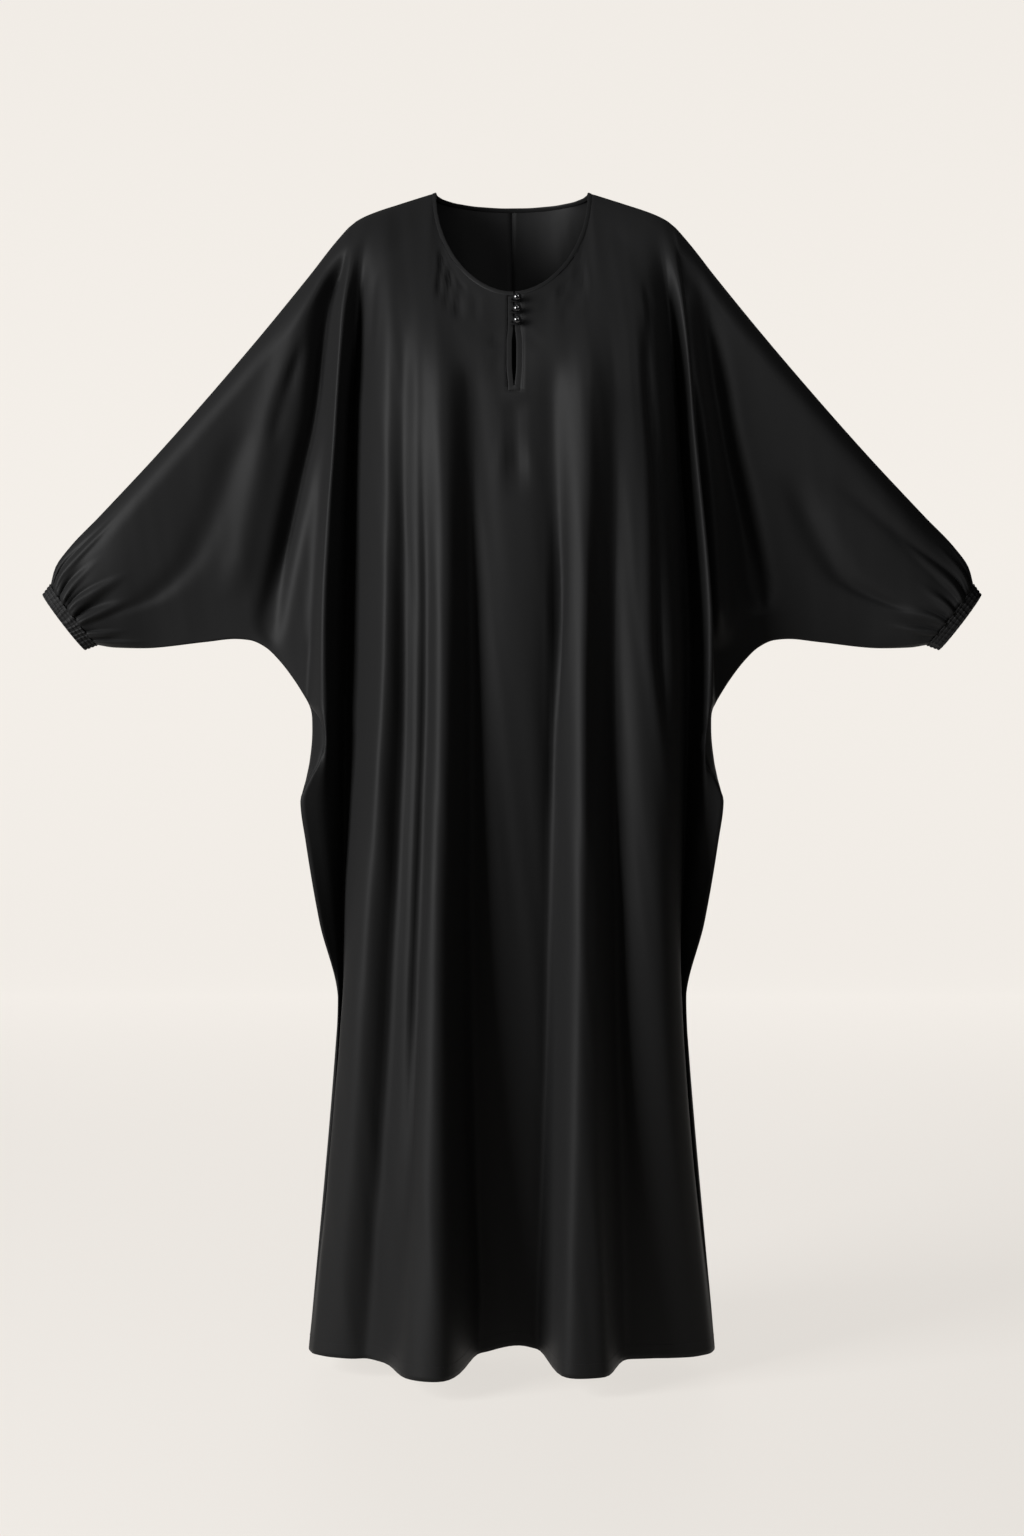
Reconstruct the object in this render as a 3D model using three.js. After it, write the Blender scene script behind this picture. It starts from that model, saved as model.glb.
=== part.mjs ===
// A full-length black batwing abaya, worn on nobody: hollow, open at the neck, the two cuffs and the hem.
// The front is cut in one piece with both sleeve fronts. The back is two halves, each with its sleeve back,
// joined down the centre. A bound round neck opens in a bound slit with three ball buttons and their loops.
// Elastic cuffs gather the sleeve ends. Front and back meet along the overarm, the underarm and the side.
//
// Millimetres. +Z is up, the front faces -Y and the wearer's right side is at -X.
// The origin is between the shoulders, where the wearer's shoulders carry the cloth.

import * as THREE from "three";

// Driving dimensions
const CLOTH = 1.6; // wall of the body cloth
const SEAM_GAP = 0.3; // between two pieces at a seam
const CORNER_GAP = 0.5; // from a panel's corner at the neck point to the middle of the seam there
const EDGE_ON = 0.6; // cloth that leans less than this, as a cosine, ends square at its seam
const HEM_Z = -1401; // the hem, below the shoulders
const HEM_RISE = { height: 12, x: 6, halfWidth: 36, from: -1150 }; // where the centre front falls back
const BUST_Z = -250; // where the folds have their full form
const BUST_DEPTH = 132;
const BLADE_DEPTH = 101; // of the back at the same height
const CHEST_HALF_WIDTH = 262; // of the rounding across the chest and the back
const NECK_HALF_WIDTH = 92.4;
const NECK_POINT_Z = 20;
const NECK_FRONT_DROP = 139.5;
const NECK_FRONT_DEPTH = 95; // how far the front of the neck stands before the shoulder line
const NECK_BACK_DROP = 6;
const NECK_BACK_DEPTH = 55;
const NECK_ROUNDNESS = 1.9; // exponent of the front neck curve, 2 is an ellipse
const NECK_SLOPE_REACH = 60; // how far along the shoulder the chest still slopes as the neck does
const CHEST_ROUNDNESS = 2.6; // exponent of the rounding across the chest and the back
const CHEST_SPREAD = 0.7; // exponent of how a fold line runs out from the neck to its place at the bust
const BINDING_WIDTH = 5;
const BINDING_THICKNESS = 2.6;
const PANEL_INSET = BINDING_WIDTH + SEAM_GAP; // the panels stop this far short of the bound edge
// What moving the neck curve out into the cloth by 1 mm adds to its depth and fall, and takes off its height
const NECK_WIDENING = {
  front: { depth: 0.3, fall: 0.62 },
  back: { depth: 0.6, fall: 0.45 },
  height: 0.38,
};
const SLIT_X = 2.6; // centre of the slit
const SLIT_BINDING_WIDTH = 6;
const SLIT_BINDING_THICKNESS = 2.2;
const SLOT_INSET = SLIT_BINDING_WIDTH + SEAM_GAP;
const BUTTON_RADIUS = 5.2;
const BUTTON_COUNT = 3;
const BUTTON_PITCH = 14.3;
const FIRST_BUTTON_Z = -131.5;
const BUTTON_ASIDE = 3.6; // how far the buttons stand from the middle of the slit
const BUTTON_X = SLIT_X + BUTTON_ASIDE;
const SHANK_RADIUS = 1.4;
const SHANK_LENGTH = 2.4;
const LOOP_RADIUS = 0.8;
const LOOP_END_X = SLIT_X - 4.2; // where the loops are sewn, on the other side of the slit
const CUFF_LENGTH = 15.5;
const CUFF_RIM_SHARE = 0.9; // size of the cuff's rim against the sleeve's end
const CUFF_THICKNESS = 2.4;
const CUFF_RIBS = 34;
const CUFF_RIB_HEIGHT = 0.9;
const CUFF_HALF_DEPTH = 26; // front to back, at the end of the sleeve
const ARM_HALF_DEPTH = 50; // sleeve at the shoulder, front to back
const WRIST_EASE = 8; // how much deeper the sleeve still is than the cuff before it is gathered
const ARM_ROUNDING = 1.15; // the cloth is round over the arm for this many half depths
const ARM_TAPER = { from: 0.6, left: 0.03, power: 1.25 }; // below the arm, in half depths, to a thin underarm
const TUBE_FROM = 0.7; // share of the sleeve past which it becomes the round tube at the cuff
const SLEEVE_START = 117; // mm along the shoulder where the sleeve begins
const GATHERS_PER_SIDE = 8;
const GATHER_HEIGHT = 2.6;
const GATHERED_FROM = 0.85; // share of the sleeve past which its rows follow the gathers
const GATHERED_FULLY = 0.97;
const GATHERS_AT_CUFF = 0.35; // how high the gathers still are where the cuff holds them

// The shoulder and overarm seam from the neck point to the cuff, x away from the centre
const OVERARM = [
  { x: 92.4, z: 20 },
  { x: 138, z: 5.3 },
  { x: 175, z: -8.2 },
  { x: 193, z: -18.1 },
  { x: 212, z: -37.8 },
  { x: 249, z: -84.6 },
  { x: 323, z: -174.5 },
  { x: 434, z: -301.3 },
  { x: 507, z: -378.9 },
  { x: 544, z: -417.1 },
  { x: 562, z: -443 },
  { x: 567, z: -463 },
];

// The underarm seam from the side corner to the cuff
const UNDERARM = [
  { x: 249, z: -610 },
  { x: 267, z: -581 },
  { x: 286, z: -556 },
  { x: 304, z: -539 },
  { x: 323, z: -530.5 },
  { x: 341, z: -529 },
  { x: 378, z: -532.8 },
  { x: 452, z: -540 },
  { x: 489, z: -539 },
  { x: 512, z: -535.5 },
];
const CORNER_Z = UNDERARM[0].z;

// Down from the corner: the side seam, and the edge of the back cloth, which pouches out past the seam
const SIDE = [
  { z: -610, seamX: 249, seamY: -2, edgeX: 249, edgeY: 5 },
  { z: -629, seamX: 233, seamY: -22, edgeX: 251.3, edgeY: 2 },
  { z: -653, seamX: 226, seamY: -28, edgeX: 253.8, edgeY: 0 },
  { z: -680, seamX: 232, seamY: -24, edgeX: 255.5, edgeY: 0 },
  { z: -704, seamX: 245, seamY: -15, edgeX: 257.5, edgeY: 2 },
  { z: -728, seamX: 254.5, seamY: -9, edgeX: 258.6, edgeY: 4 },
  { z: -777, seamX: 249, seamY: -5, edgeX: 251.5, edgeY: 6 },
  { z: -875, seamX: 234, seamY: -3, edgeX: 236.5, edgeY: 8 },
  { z: -975, seamX: 213, seamY: 0, edgeX: 214, edgeY: 12 },
  { z: -1030, seamX: 216.5, seamY: 0, edgeX: 216.5, edgeY: 14 },
  { z: -1401, seamX: 249, seamY: 0, edgeX: 248, edgeY: 16 },
];
const EDGE = [{ z: -250, edgeX: 214, edgeY: 46 }, { z: -540, edgeX: 235, edgeY: 22 }, ...SIDE];
const EDGE_TOP = 106; // mm along the shoulder where the edge of the back begins

// The long folds of the front, from the wearer's right to the left, each a ridge or valley line down the cloth.
// top: mm along the shoulder from the neck point, or if below 0 the share of the neck curve to its centre.
// x and y: at the bust, the underarm, the knee and the hem. start: the share of the chest where it begins.
// columns: the strips of cloth between this line and the next.
const FRONT_FOLDS = [
  { name: "wing", side: -1, top: 100, start: 0.3, columns: 2,
    x: [-211, -224, -213, -248.3], y: [-56, -38, -9, -8] },
  { name: "valley", side: -1, top: 80, start: 0.04, columns: 2,
    x: [-198, -204, -206, -247], y: [-8, 2, 2, -16] },
  { name: "edge", side: -1, top: 58, start: 0.12, columns: 2,
    x: [-172, -180, -206, -240], y: [-86, -86, -68, -36] },
  { name: "ridge", side: -1, top: 44, start: 0.3, columns: 2,
    x: [-145, -154, -173, -199], y: [-114, -120, -108, -58] },
  { name: "dip", side: -1, top: 30, start: 0.5, columns: 2,
    x: [-128, -126, -138, -170], y: [-114, -95, -84, -50] },
  { name: "flank", side: -1, top: 14, start: 0.5, columns: 1,
    x: [-114, -108, -120, -143], y: [-128, -122, -115, -106] },
  { name: "crease", side: -1, top: 0, start: 0.5, columns: 3,
    x: [-107, -102, -114, -134], y: [-129, -118, -110, -124] },
  { name: "lobe", side: -1, top: -0.2, start: 0.5, columns: 3,
    x: [-83, -79, -88, -95], y: [-138, -141, -151, -174] },
  { name: "trough", side: -1, top: -0.6, start: 0.5, columns: 3,
    x: [-50, -43, -37, -37], y: [-119, -80, -56, -42] },
  { name: "slit", side: -1, top: -0.967, start: 0.5, columns: 1,
    x: [-7, 2, 6, 0], y: [-123, -110, -76, -41] },
  { name: "slit", side: 1, top: -0.93, start: 0.5, columns: 3,
    x: [12.3, 18, 22, 12], y: [-124, -110, -76, -41] },
  { name: "trough", side: 1, top: -0.6, start: 0.5, columns: 4,
    x: [48, 45, 46, 40], y: [-119, -86, -56, -38] },
  { name: "lobe", side: 1, top: -0.2, start: 0.5, columns: 3,
    x: [86, 86, 88, 88], y: [-136, -137, -147, -158] },
  { name: "flank", side: 1, top: 0, start: 0.5, columns: 2,
    x: [106, 99, 106, 119], y: [-129, -120, -134, -128] },
  { name: "dip", side: 1, top: 22, start: 0.5, columns: 2,
    x: [120, 130, 146, 161], y: [-121, -90, -78, -46] },
  { name: "ridge", side: 1, top: 44, start: 0.4, columns: 2,
    x: [148, 154, 174, 203], y: [-115, -116, -104, -54] },
  { name: "edge", side: 1, top: 58, start: 0.12, columns: 2,
    x: [172, 176, 204, 240], y: [-86, -80, -68, -36] },
  { name: "valley", side: 1, top: 80, start: 0.04, columns: 2,
    x: [203, 210, 206, 247], y: [-8, 2, 2, -16] },
  { name: "wing", side: 1, top: 100, start: 0.3, columns: 2,
    x: [213, 226, 213, 248.3], y: [-56, -38, -9, -8] },
];

// The long folds of the two back halves, from the side to the centre, in the same way
const BACK_RIGHT_FOLDS = [
  { name: "valley", side: -1, top: 88, start: 0.06, columns: 2,
    x: [-195, -200, -206, -243], y: [40, 34, 26, 36] },
  { name: "edge", side: -1, top: 72, start: 0.1, columns: 2,
    x: [-172, -182, -201, -230], y: [72, 78, 76, 68] },
  { name: "ridge", side: -1, top: 50, start: 0.4, columns: 3,
    x: [-141, -150, -166, -190], y: [97, 112, 118, 112] },
  { name: "dip", side: -1, top: 22, start: 0.5, columns: 2,
    x: [-106, -112, -120, -134], y: [96, 88, 82, 74] },
  { name: "neck", side: -1, top: 0, start: 0.5, columns: 2,
    x: [-88, -90, -96, -106], y: [99, 100, 106, 116] },
  { name: "lobe", side: -1, top: -0.3, start: 0.5, columns: 3,
    x: [-64, -66, -71, -78], y: [102, 116, 134, 158] },
  { name: "inner dip", side: -1, top: -0.65, start: 0.5, columns: 3,
    x: [-33, -31, -34, -37], y: [97, 93, 88, 86] },
  { name: "centre", side: -1, top: -1, start: 0.5, columns: 0,
    x: [0, 0, 0, 0], y: [97, 103, 108, 116] },
];
const BACK_LEFT_FOLDS = [
  { name: "valley", side: 1, top: 88, start: 0.06, columns: 2,
    x: [198, 203, 208, 244], y: [40, 32, 26, 34] },
  { name: "edge", side: 1, top: 72, start: 0.1, columns: 2,
    x: [174, 183, 203, 232], y: [72, 76, 76, 66] },
  { name: "ridge", side: 1, top: 50, start: 0.4, columns: 3,
    x: [146, 154, 172, 198], y: [96, 110, 120, 116] },
  { name: "dip", side: 1, top: 24, start: 0.5, columns: 2,
    x: [112, 118, 128, 144], y: [96, 89, 80, 70] },
  { name: "neck", side: 1, top: 0, start: 0.5, columns: 2,
    x: [90, 94, 103, 116], y: [99, 101, 104, 112] },
  { name: "lobe", side: 1, top: -0.3, start: 0.5, columns: 3,
    x: [68, 72, 80, 90], y: [102, 114, 128, 150] },
  { name: "inner dip", side: 1, top: -0.65, start: 0.5, columns: 3,
    x: [36, 36, 41, 45], y: [97, 95, 90, 82] },
  { name: "centre", side: 1, top: -1, start: 0.5, columns: 0,
    x: [0, 0, 0, 0], y: [97, 103, 108, 116] },
];
const STATION_Z = [BUST_Z, -540, -940, HEM_Z];

// The folds of the sleeves: x away from the centre and z along each, its width and how far it stands out
const SLEEVE_FOLDS = [
  { face: -1, side: -1, width: 14, height: -26,
    x: [206, 222, 242, 254, 268, 306], z: [-70, -119, -175, -265, -338, -516] },
  { face: -1, side: -1, x: [230, 282, 312, 338], z: [-80, -220, -340, -470], width: 17, height: 10 },
  { face: -1, side: -1, x: [330, 385, 440, 500], z: [-280, -420, -478, -504], width: 17, height: -7 },
  { face: -1, side: 1, width: 15, height: -24,
    x: [212, 228, 243, 252, 277, 305], z: [-70, -150, -218, -266, -363, -490] },
  { face: -1, side: 1, x: [342, 404, 470, 527], z: [-337, -453, -490, -503], width: 17, height: -8 },
  { face: -1, side: 1, x: [404, 469, 536], z: [-346, -400, -460], width: 15, height: -5 },
  { face: 1, side: -1, x: [215, 262, 290, 318], z: [-90, -240, -360, -490], width: 16, height: -20 },
  { face: 1, side: -1, x: [338, 396, 455, 515], z: [-290, -420, -470, -495], width: 16, height: -12 },
  { face: 1, side: 1, x: [218, 266, 296, 324], z: [-96, -250, -370, -490], width: 16, height: -20 },
  { face: 1, side: 1, x: [350, 410, 468, 522], z: [-300, -430, -482, -505], width: 16, height: -12 },
];
// Over the lengths at which a sleeve's fold fades in and out at its ends
const FOLD_FADE = { outside: 20, inside: 40 };

// The slit: half the gap between its bound edges, closed by the buttons above and open below them
const SLIT = [
  { z: -119, halfGap: 0.7 },
  { z: -162, halfGap: 0.7 },
  { z: -185, halfGap: 3.2 },
  { z: -212, halfGap: 3 },
  { z: -236, halfGap: 0.4 },
];

// Rows of the cloth. The first is the share of the way from the top edge to the bust, the others are heights.
const CHEST_ROWS = [0, 0.012, 0.05, 0.12, 0.22, 0.38, 0.58, 0.78, 1];
const SLOT_END = 0.94; // where the slot for the bound slit ends, on the same scale
const SLIT_ROWS = [0, 0.15, 0.3, 0.45, 0.6, 0.75, SLOT_END, 1];
const SIDE_ROWS = [
  -345, -440, -530, -575, -610, -629, -653, -680, -704, -728, -780, -860, -930, -975, -1060, -1170, -1290,
];
const BODY_ROWS = [-345, -440, -530, -620, -710, -800, -890, -980, -1080, -1190, -1300];
const SIDE_ROWS_FROM = 165; // the lines of cloth at least this far from the centre have the rows of the side
const SLEEVE_COLUMNS = [
  0, 0.06, 0.13, 0.2, 0.27, 0.34, 0.42, 0.5, 0.58, 0.66, 0.74, 0.81, 0.87, 0.92, 0.96, 0.985, 1,
];

const CLOTH_LOOK = { color: 0x0b0b0c, roughness: 0.42, metalness: 0 };
const TRIM_LOOK = { color: 0x09090a, roughness: 0.38, metalness: 0 };
const BUTTON_LOOK = { color: 0x050506, roughness: 0.12, metalness: 0 };

const lerp = (a, b, t) => a + (b - a) * t;
const clamp = (value, low, high) => Math.min(high, Math.max(low, value));
const vector = (x, y, z) => new THREE.Vector3(x, y, z);
function smooth(low, high, value) {
  const t = clamp((value - low) / (high - low), 0, 1);
  return t * t * (3 - 2 * t);
}

// A smooth curve through a table's values, which doesn't overshoot between its knots
function through(knots, values, at) {
  const last = knots.length - 1;
  const up = Math.sign(knots[last] - knots[0]);
  if ((at - knots[0]) * up <= 0) return values[0];
  if ((at - knots[last]) * up >= 0) return values[last];
  let i = 0;
  while ((at - knots[i + 1]) * up > 0) i += 1;
  const slope = (k) => (values[k + 1] - values[k]) / (knots[k + 1] - knots[k]);
  const tangent = (k) => {
    if (k === 0) return slope(0);
    if (k === last) return slope(last - 1);
    const product = slope(k - 1) * slope(k);
    return product <= 0 ? 0 : (2 * product) / (slope(k - 1) + slope(k));
  };
  const span = knots[i + 1] - knots[i];
  const t = (at - knots[i]) / span;
  const rise = t * t * (3 - 2 * t);
  const bend = t * (1 - t) * span * (tangent(i) * (1 - t) - tangent(i + 1) * t);
  return lerp(values[i], values[i + 1], rise) + bend;
}
const column = (rows, key) => rows.map((row) => row[key]);

// An outline table as a curve by its length
function outline(rows) {
  const length = [0];
  for (let i = 1; i < rows.length; i += 1) {
    length.push(length[i - 1] + Math.hypot(rows[i].x - rows[i - 1].x, rows[i].z - rows[i - 1].z));
  }
  return {
    total: length[rows.length - 1],
    at: (s) => ({ x: through(length, column(rows, "x"), s), z: through(length, column(rows, "z"), s) }),
  };
}
const overarm = outline(OVERARM);
const underarm = outline(UNDERARM);

// The neck curve: share is 0 at the neck point and 1 at the centre; widen moves the curve out into the cloth
function neckCurve(share, widen, face) {
  const angle = (share * Math.PI) / 2;
  const front = face < 0;
  const power = front ? 2 / NECK_ROUNDNESS : 1;
  const drop = Math.sin(angle) ** power;
  const gain = front ? NECK_WIDENING.front : NECK_WIDENING.back;
  const depth = (front ? NECK_FRONT_DEPTH : NECK_BACK_DEPTH) + gain.depth * widen;
  const fall = (front ? NECK_FRONT_DROP : NECK_BACK_DROP) + gain.fall * widen;
  const x = (NECK_HALF_WIDTH + widen) * Math.cos(angle) ** power;
  return vector(x, face * depth * drop, NECK_POINT_Z - NECK_WIDENING.height * widen - fall * drop);
}
// The share at which the front neck curve has a given x
function neckShareAt(x, widen) {
  return Math.acos((Math.abs(x) / (NECK_HALF_WIDTH + widen)) ** (NECK_ROUNDNESS / 2)) / (Math.PI / 2);
}

// A point on the top edge of a panel, for a fold table's top value
function topEdge(top, side, face) {
  if (top <= 0) {
    const onNeck = neckCurve(-top, PANEL_INSET, face);
    onNeck.x *= side;
    return onNeck;
  }
  const onShoulder = overarm.at(PANEL_INSET + top * (1 - PANEL_INSET / overarm.total));
  return vector(side * onShoulder.x, 0, onShoulder.z);
}

// How far down a row lies: 0 at the top edge, 1 at the bust and 2 at the hem
const downAt = (z) => 1 + (BUST_Z - z) / (BUST_Z - HEM_Z);
const heightAt = (down) => BUST_Z - (down - 1) * (BUST_Z - HEM_Z);
const CORNER_DOWN = downAt(CORNER_Z);
const sleeveTop = overarm.at(SLEEVE_START);

// How far down the sleeve, from 0 at the overarm to 1 at the underarm, a row of the body lies
function sleeveShare(down) {
  const z = down < 1 ? lerp(sleeveTop.z, BUST_Z, down) : heightAt(down);
  return (sleeveTop.z - z) / (sleeveTop.z - CORNER_Z);
}

// How much the folds of a sleeve move its cloth outward at x and z
function foldHeight(x, z, side, face) {
  let height = 0;
  const { outside, inside } = FOLD_FADE;
  for (const fold of SLEEVE_FOLDS) {
    if (fold.side !== side || fold.face !== face) continue;
    const low = fold.z[fold.z.length - 1];
    const high = fold.z[0];
    const reach = clamp(z, low, high);
    const away = Math.hypot(x - through(fold.z, fold.x, reach), z - reach) / fold.width;
    const ends = smooth(low - outside, low + inside, z) * smooth(high + outside, high - inside, z);
    height += fold.height * Math.exp(-away * away) * ends;
  }
  return height;
}

// The cloth round the arm. along is 0 at the shoulder and 1 at the cuff, share 0 at the overarm and 1 below.
function sleevePoint(along, share, side, face) {
  const top = overarm.at(lerp(SLEEVE_START, overarm.total, along));
  const bottom = underarm.at(along * underarm.total);
  const x = lerp(top.x, bottom.x, share);
  const z = lerp(top.z, bottom.z, share);
  const length = Math.hypot(bottom.x - top.x, bottom.z - top.z);
  const arm = lerp(ARM_HALF_DEPTH, CUFF_HALF_DEPTH + WRIST_EASE, along);
  const below = share * length;
  const round = Math.sqrt(1 - (1 - clamp(below / (ARM_ROUNDING * arm), 0, 1)) ** 2);
  const tapered = ARM_TAPER.from * arm;
  const fallen = clamp((below - tapered) / Math.max(1, length - tapered), 0, 1) ** ARM_TAPER.power;
  const taper = lerp(1, ARM_TAPER.left, fallen);
  const tube = CUFF_HALF_DEPTH * Math.sqrt(Math.max(0, 1 - (2 * share - 1) ** 2));
  let depth = lerp(arm * round * taper, tube, smooth(TUBE_FROM, 1, along));
  const edges = smooth(0, 0.12, share) * smooth(1, 0.86, share);
  depth += edges * foldHeight(x, z, side, face) * smooth(1, 0.9, along);
  const turn = Math.acos(clamp(1 - 2 * share, -1, 1)) / Math.PI;
  const held = lerp(1, GATHERS_AT_CUFF, smooth(GATHERED_FULLY, 1, along));
  const gathered = smooth(GATHERED_FROM - 0.05, GATHERED_FULLY, along) * held;
  const wave = Math.sin(Math.PI * turn) * Math.cos(2 * Math.PI * GATHERS_PER_SIDE * turn);
  depth += gathered * GATHER_HEIGHT * wave;
  return vector(side * x, face * Math.max(0, depth), z);
}

// The side edge of a panel: the line where its sleeve begins down to the corner, then the side seam
function sideLine(down, side, face) {
  const z = heightAt(down);
  const seam = vector(side * through(column(SIDE, "z"), column(SIDE, "seamX"), z), 0, z);
  seam.y = through(column(SIDE, "z"), column(SIDE, "seamY"), z);
  if (down >= CORNER_DOWN) return seam;
  const point = sleevePoint(0, sleeveShare(down), side, face);
  point.y = lerp(point.y, SIDE[0].seamY, smooth(CORNER_DOWN - 0.04, CORNER_DOWN, down));
  return point;
}

// The outer edge of the back, a little behind the side seam
function edgeLine(down, side) {
  const z = down < 1 ? BUST_Z : heightAt(down);
  const x = side * through(column(EDGE, "z"), column(EDGE, "edgeX"), z);
  const y = through(column(EDGE, "z"), column(EDGE, "edgeY"), z);
  if (down >= 1) return vector(x, y, z);
  const top = topEdge(EDGE_TOP, side, 1);
  return vector(lerp(top.x, x, down), lerp(top.y, y, Math.sqrt(1 - (1 - down) ** 2)), lerp(top.z, z, down));
}

const slitHalfGap = (z) => through(column(SLIT, "z"), column(SLIT, "halfGap"), z);

// A point of a fold line: from the top edge over the chest or the shoulder blade, then down to the hem
function foldPoint(fold, down, face) {
  if (down >= 1) {
    const z = heightAt(down);
    return vector(through(STATION_Z, fold.x, z), through(STATION_Z, fold.y, z), z);
  }
  const top = topEdge(fold.top, fold.side, face);
  const across = Math.min(0.99, (Math.abs(fold.x[0]) / CHEST_HALF_WIDTH) ** CHEST_ROUNDNESS);
  const chest = face * (face < 0 ? BUST_DEPTH : BLADE_DEPTH) * Math.sqrt(1 - across);
  const underNeck = face < 0 ? smooth(NECK_SLOPE_REACH, 0, fold.top) : clamp(-2 * fold.top, 0, 1);
  const eased = lerp(Math.sqrt(1 - (1 - down) ** 2), Math.sin((down * Math.PI) / 2), underNeck);
  const y = lerp(top.y, chest, eased) + (fold.y[0] - chest) * smooth(fold.start, 1, down);
  return vector(lerp(top.x, fold.x[0], down ** CHEST_SPREAD), y, lerp(top.z, BUST_Z, down));
}

// The edge of the slit's gap at a height, moved out by an inset
const slitEdgeX = (z, side, inset) => SLIT_X + side * (slitHalfGap(z) + inset);

// The cloth beside the slit, inset from its bound edge by a given width
function slitPoint(fold, down, inset) {
  if (down >= 1) return foldPoint(fold, down, -1);
  const topZ = neckCurve(1, PANEL_INSET, -1).z;
  const z = lerp(topZ, BUST_Z, down);
  const x = slitEdgeX(z, fold.side, inset);
  const top = neckCurve(neckShareAt(x, PANEL_INSET), PANEL_INSET, -1);
  const y = lerp(top.y, fold.y[0], Math.sin((down * Math.PI) / 2));
  return vector(lerp(x, fold.x[0], smooth(SLOT_END, 1, down)), y, lerp(top.z, BUST_Z, down));
}
// A fold between two of a table, so that ridges and valleys are round across the cloth
function foldBetween(from, to, share) {
  const eased = (1 - Math.cos(Math.PI * share)) / 2;
  return {
    side: from.side,
    top: lerp(from.top, to.top, share),
    start: lerp(from.start, to.start, share),
    x: from.x.map((x, k) => lerp(x, to.x[k], share)),
    y: from.y.map((y, k) => lerp(y, to.y[k], eased)),
  };
}

// A surface as it is made: its points, its triangles, and the seams that some of its points lie on
class Cloth {
  constructor() {
    this.points = [];
    this.triangles = [];
    this.seams = [];
  }

  // A column of points, one for each row; each cell keeps its row and its point's number
  column(downs, place) {
    return downs.map((down) => ({ down, index: this.points.push(place(down)) - 1 }));
  }

  // The cloth ends at these cells, half a gap or more behind a plane through each that faces out of the cloth
  end(cells, facing, gap = SEAM_GAP / 2) {
    for (const { index } of cells) {
      const point = this.points[index];
      this.seams.push({ index, facing: facing(point), through: point.clone(), gap });
    }
  }

  // Triangles between two columns, whatever rows each has; flip makes them face the other way
  zip(left, right, flip = false) {
    let i = 0;
    let j = 0;
    while (i < left.length - 1 || j < right.length - 1) {
      const onLeft = (left[i + 1]?.down ?? Infinity) <= (right[j + 1]?.down ?? Infinity);
      const next = onLeft ? left[i + 1].index : right[j + 1].index;
      const triangle = [left[i].index, next, right[j].index];
      this.triangles.push(flip ? triangle.reverse() : triangle);
      if (onLeft) i += 1;
      else j += 1;
    }
  }
}

// A closed wall round a surface. raise gives the height of its outer points over the even thickness.
function wall(cloth, thickness, raise = () => 0) {
  const { points, triangles, seams } = cloth;
  const normals = points.map(() => vector(0, 0, 0));
  for (const [p, q, r] of triangles) {
    const first = points[q].clone().sub(points[p]);
    const second = points[r].clone().sub(points[p]);
    first.cross(second);
    for (const k of [p, q, r]) normals[k].add(first);
  }
  normals.forEach((normal) => normal.normalize());
  for (const { index, facing, through: seam, gap } of seams) {
    const lean = normals[index].dot(facing);
    const edgeOn = Math.abs(lean) < EDGE_ON;
    if (edgeOn) normals[index].addScaledVector(facing, -lean).normalize();
    const reach = gap + (edgeOn ? 0 : (thickness / 2) * Math.abs(lean));
    points[index].addScaledVector(facing, seam.clone().sub(points[index]).dot(facing) - reach);
  }
  const outer = points.map((point, k) => point.clone().addScaledVector(normals[k], thickness / 2 + raise(k)));
  const inner = points.map((point, k) => point.clone().addScaledVector(normals[k], -thickness / 2));
  const count = points.length;
  const index = [];
  const open = new Map();
  for (const [p, q, r] of triangles) {
    index.push(p, q, r, p + count, r + count, q + count);
    for (const [u, v] of [[p, q], [q, r], [r, p]]) {
      if (!open.delete(`${v},${u}`)) open.set(`${u},${v}`, [u, v]);
    }
  }
  for (const [u, v] of open.values()) index.push(v, u, u + count, v, u + count, v + count);
  const geometry = new THREE.BufferGeometry().setFromPoints([...outer, ...inner]);
  geometry.setIndex(index);
  return geometry;
}

function mesh(name, geometry, look) {
  geometry.computeVertexNormals();
  const made = new THREE.Mesh(geometry, new THREE.MeshStandardMaterial(look));
  made.name = name;
  return made;
}

const sideDowns = [...CHEST_ROWS, ...SIDE_ROWS.map(downAt), 2];
const bodyDowns = [...CHEST_ROWS, ...BODY_ROWS.map(downAt), 2];
const slitDowns = [...SLIT_ROWS, ...BODY_ROWS.map(downAt), 2];
const aboveCorner = (down) => down <= CORNER_DOWN + 1e-9;

// Rows of the gathered end of a sleeve, four to each gather
function gatheredDowns() {
  const rows = 4 * GATHERS_PER_SIDE;
  return Array.from({ length: rows + 1 }, (_, k) => {
    const z = lerp(sleeveTop.z, CORNER_Z, (1 - Math.cos((Math.PI * k) / rows)) / 2);
    return z > BUST_Z ? (sleeveTop.z - z) / (sleeveTop.z - BUST_Z) : downAt(z);
  });
}

// The ways that seams face, out of a piece: along y, and at the side square to the seam's slope
const apart = (face) => () => vector(0, -face, 0);
function apartAtSide(face) {
  return ({ z }) => {
    const seamY = (height) => through(column(SIDE, "z"), column(SIDE, "seamY"), height);
    const step = 4;
    return vector(0, 2 * step, seamY(z - step) - seamY(z + step)).normalize().multiplyScalar(-face);
  };
}
const cuffTop = overarm.at(overarm.total);
const cuffBottom = underarm.at(underarm.total);
const cuffAxis = (side) => vector(side * (cuffTop.z - cuffBottom.z), 0, cuffBottom.x - cuffTop.x).normalize();

// A point on the whole neck: u is -1 and 1 at the neck points and 0 at the centre
function neckPoint(u, widen, face) {
  const point = neckCurve(1 - Math.abs(u), widen, face);
  point.x *= u < 0 ? -1 : 1;
  return point;
}
const neckAt = (x) => Math.sign(x) * (1 - neckShareAt(x, PANEL_INSET));
const towardNeck = (u, face) => neckPoint(u, 0, face).sub(neckPoint(u, PANEL_INSET, face)).normalize();

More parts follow.
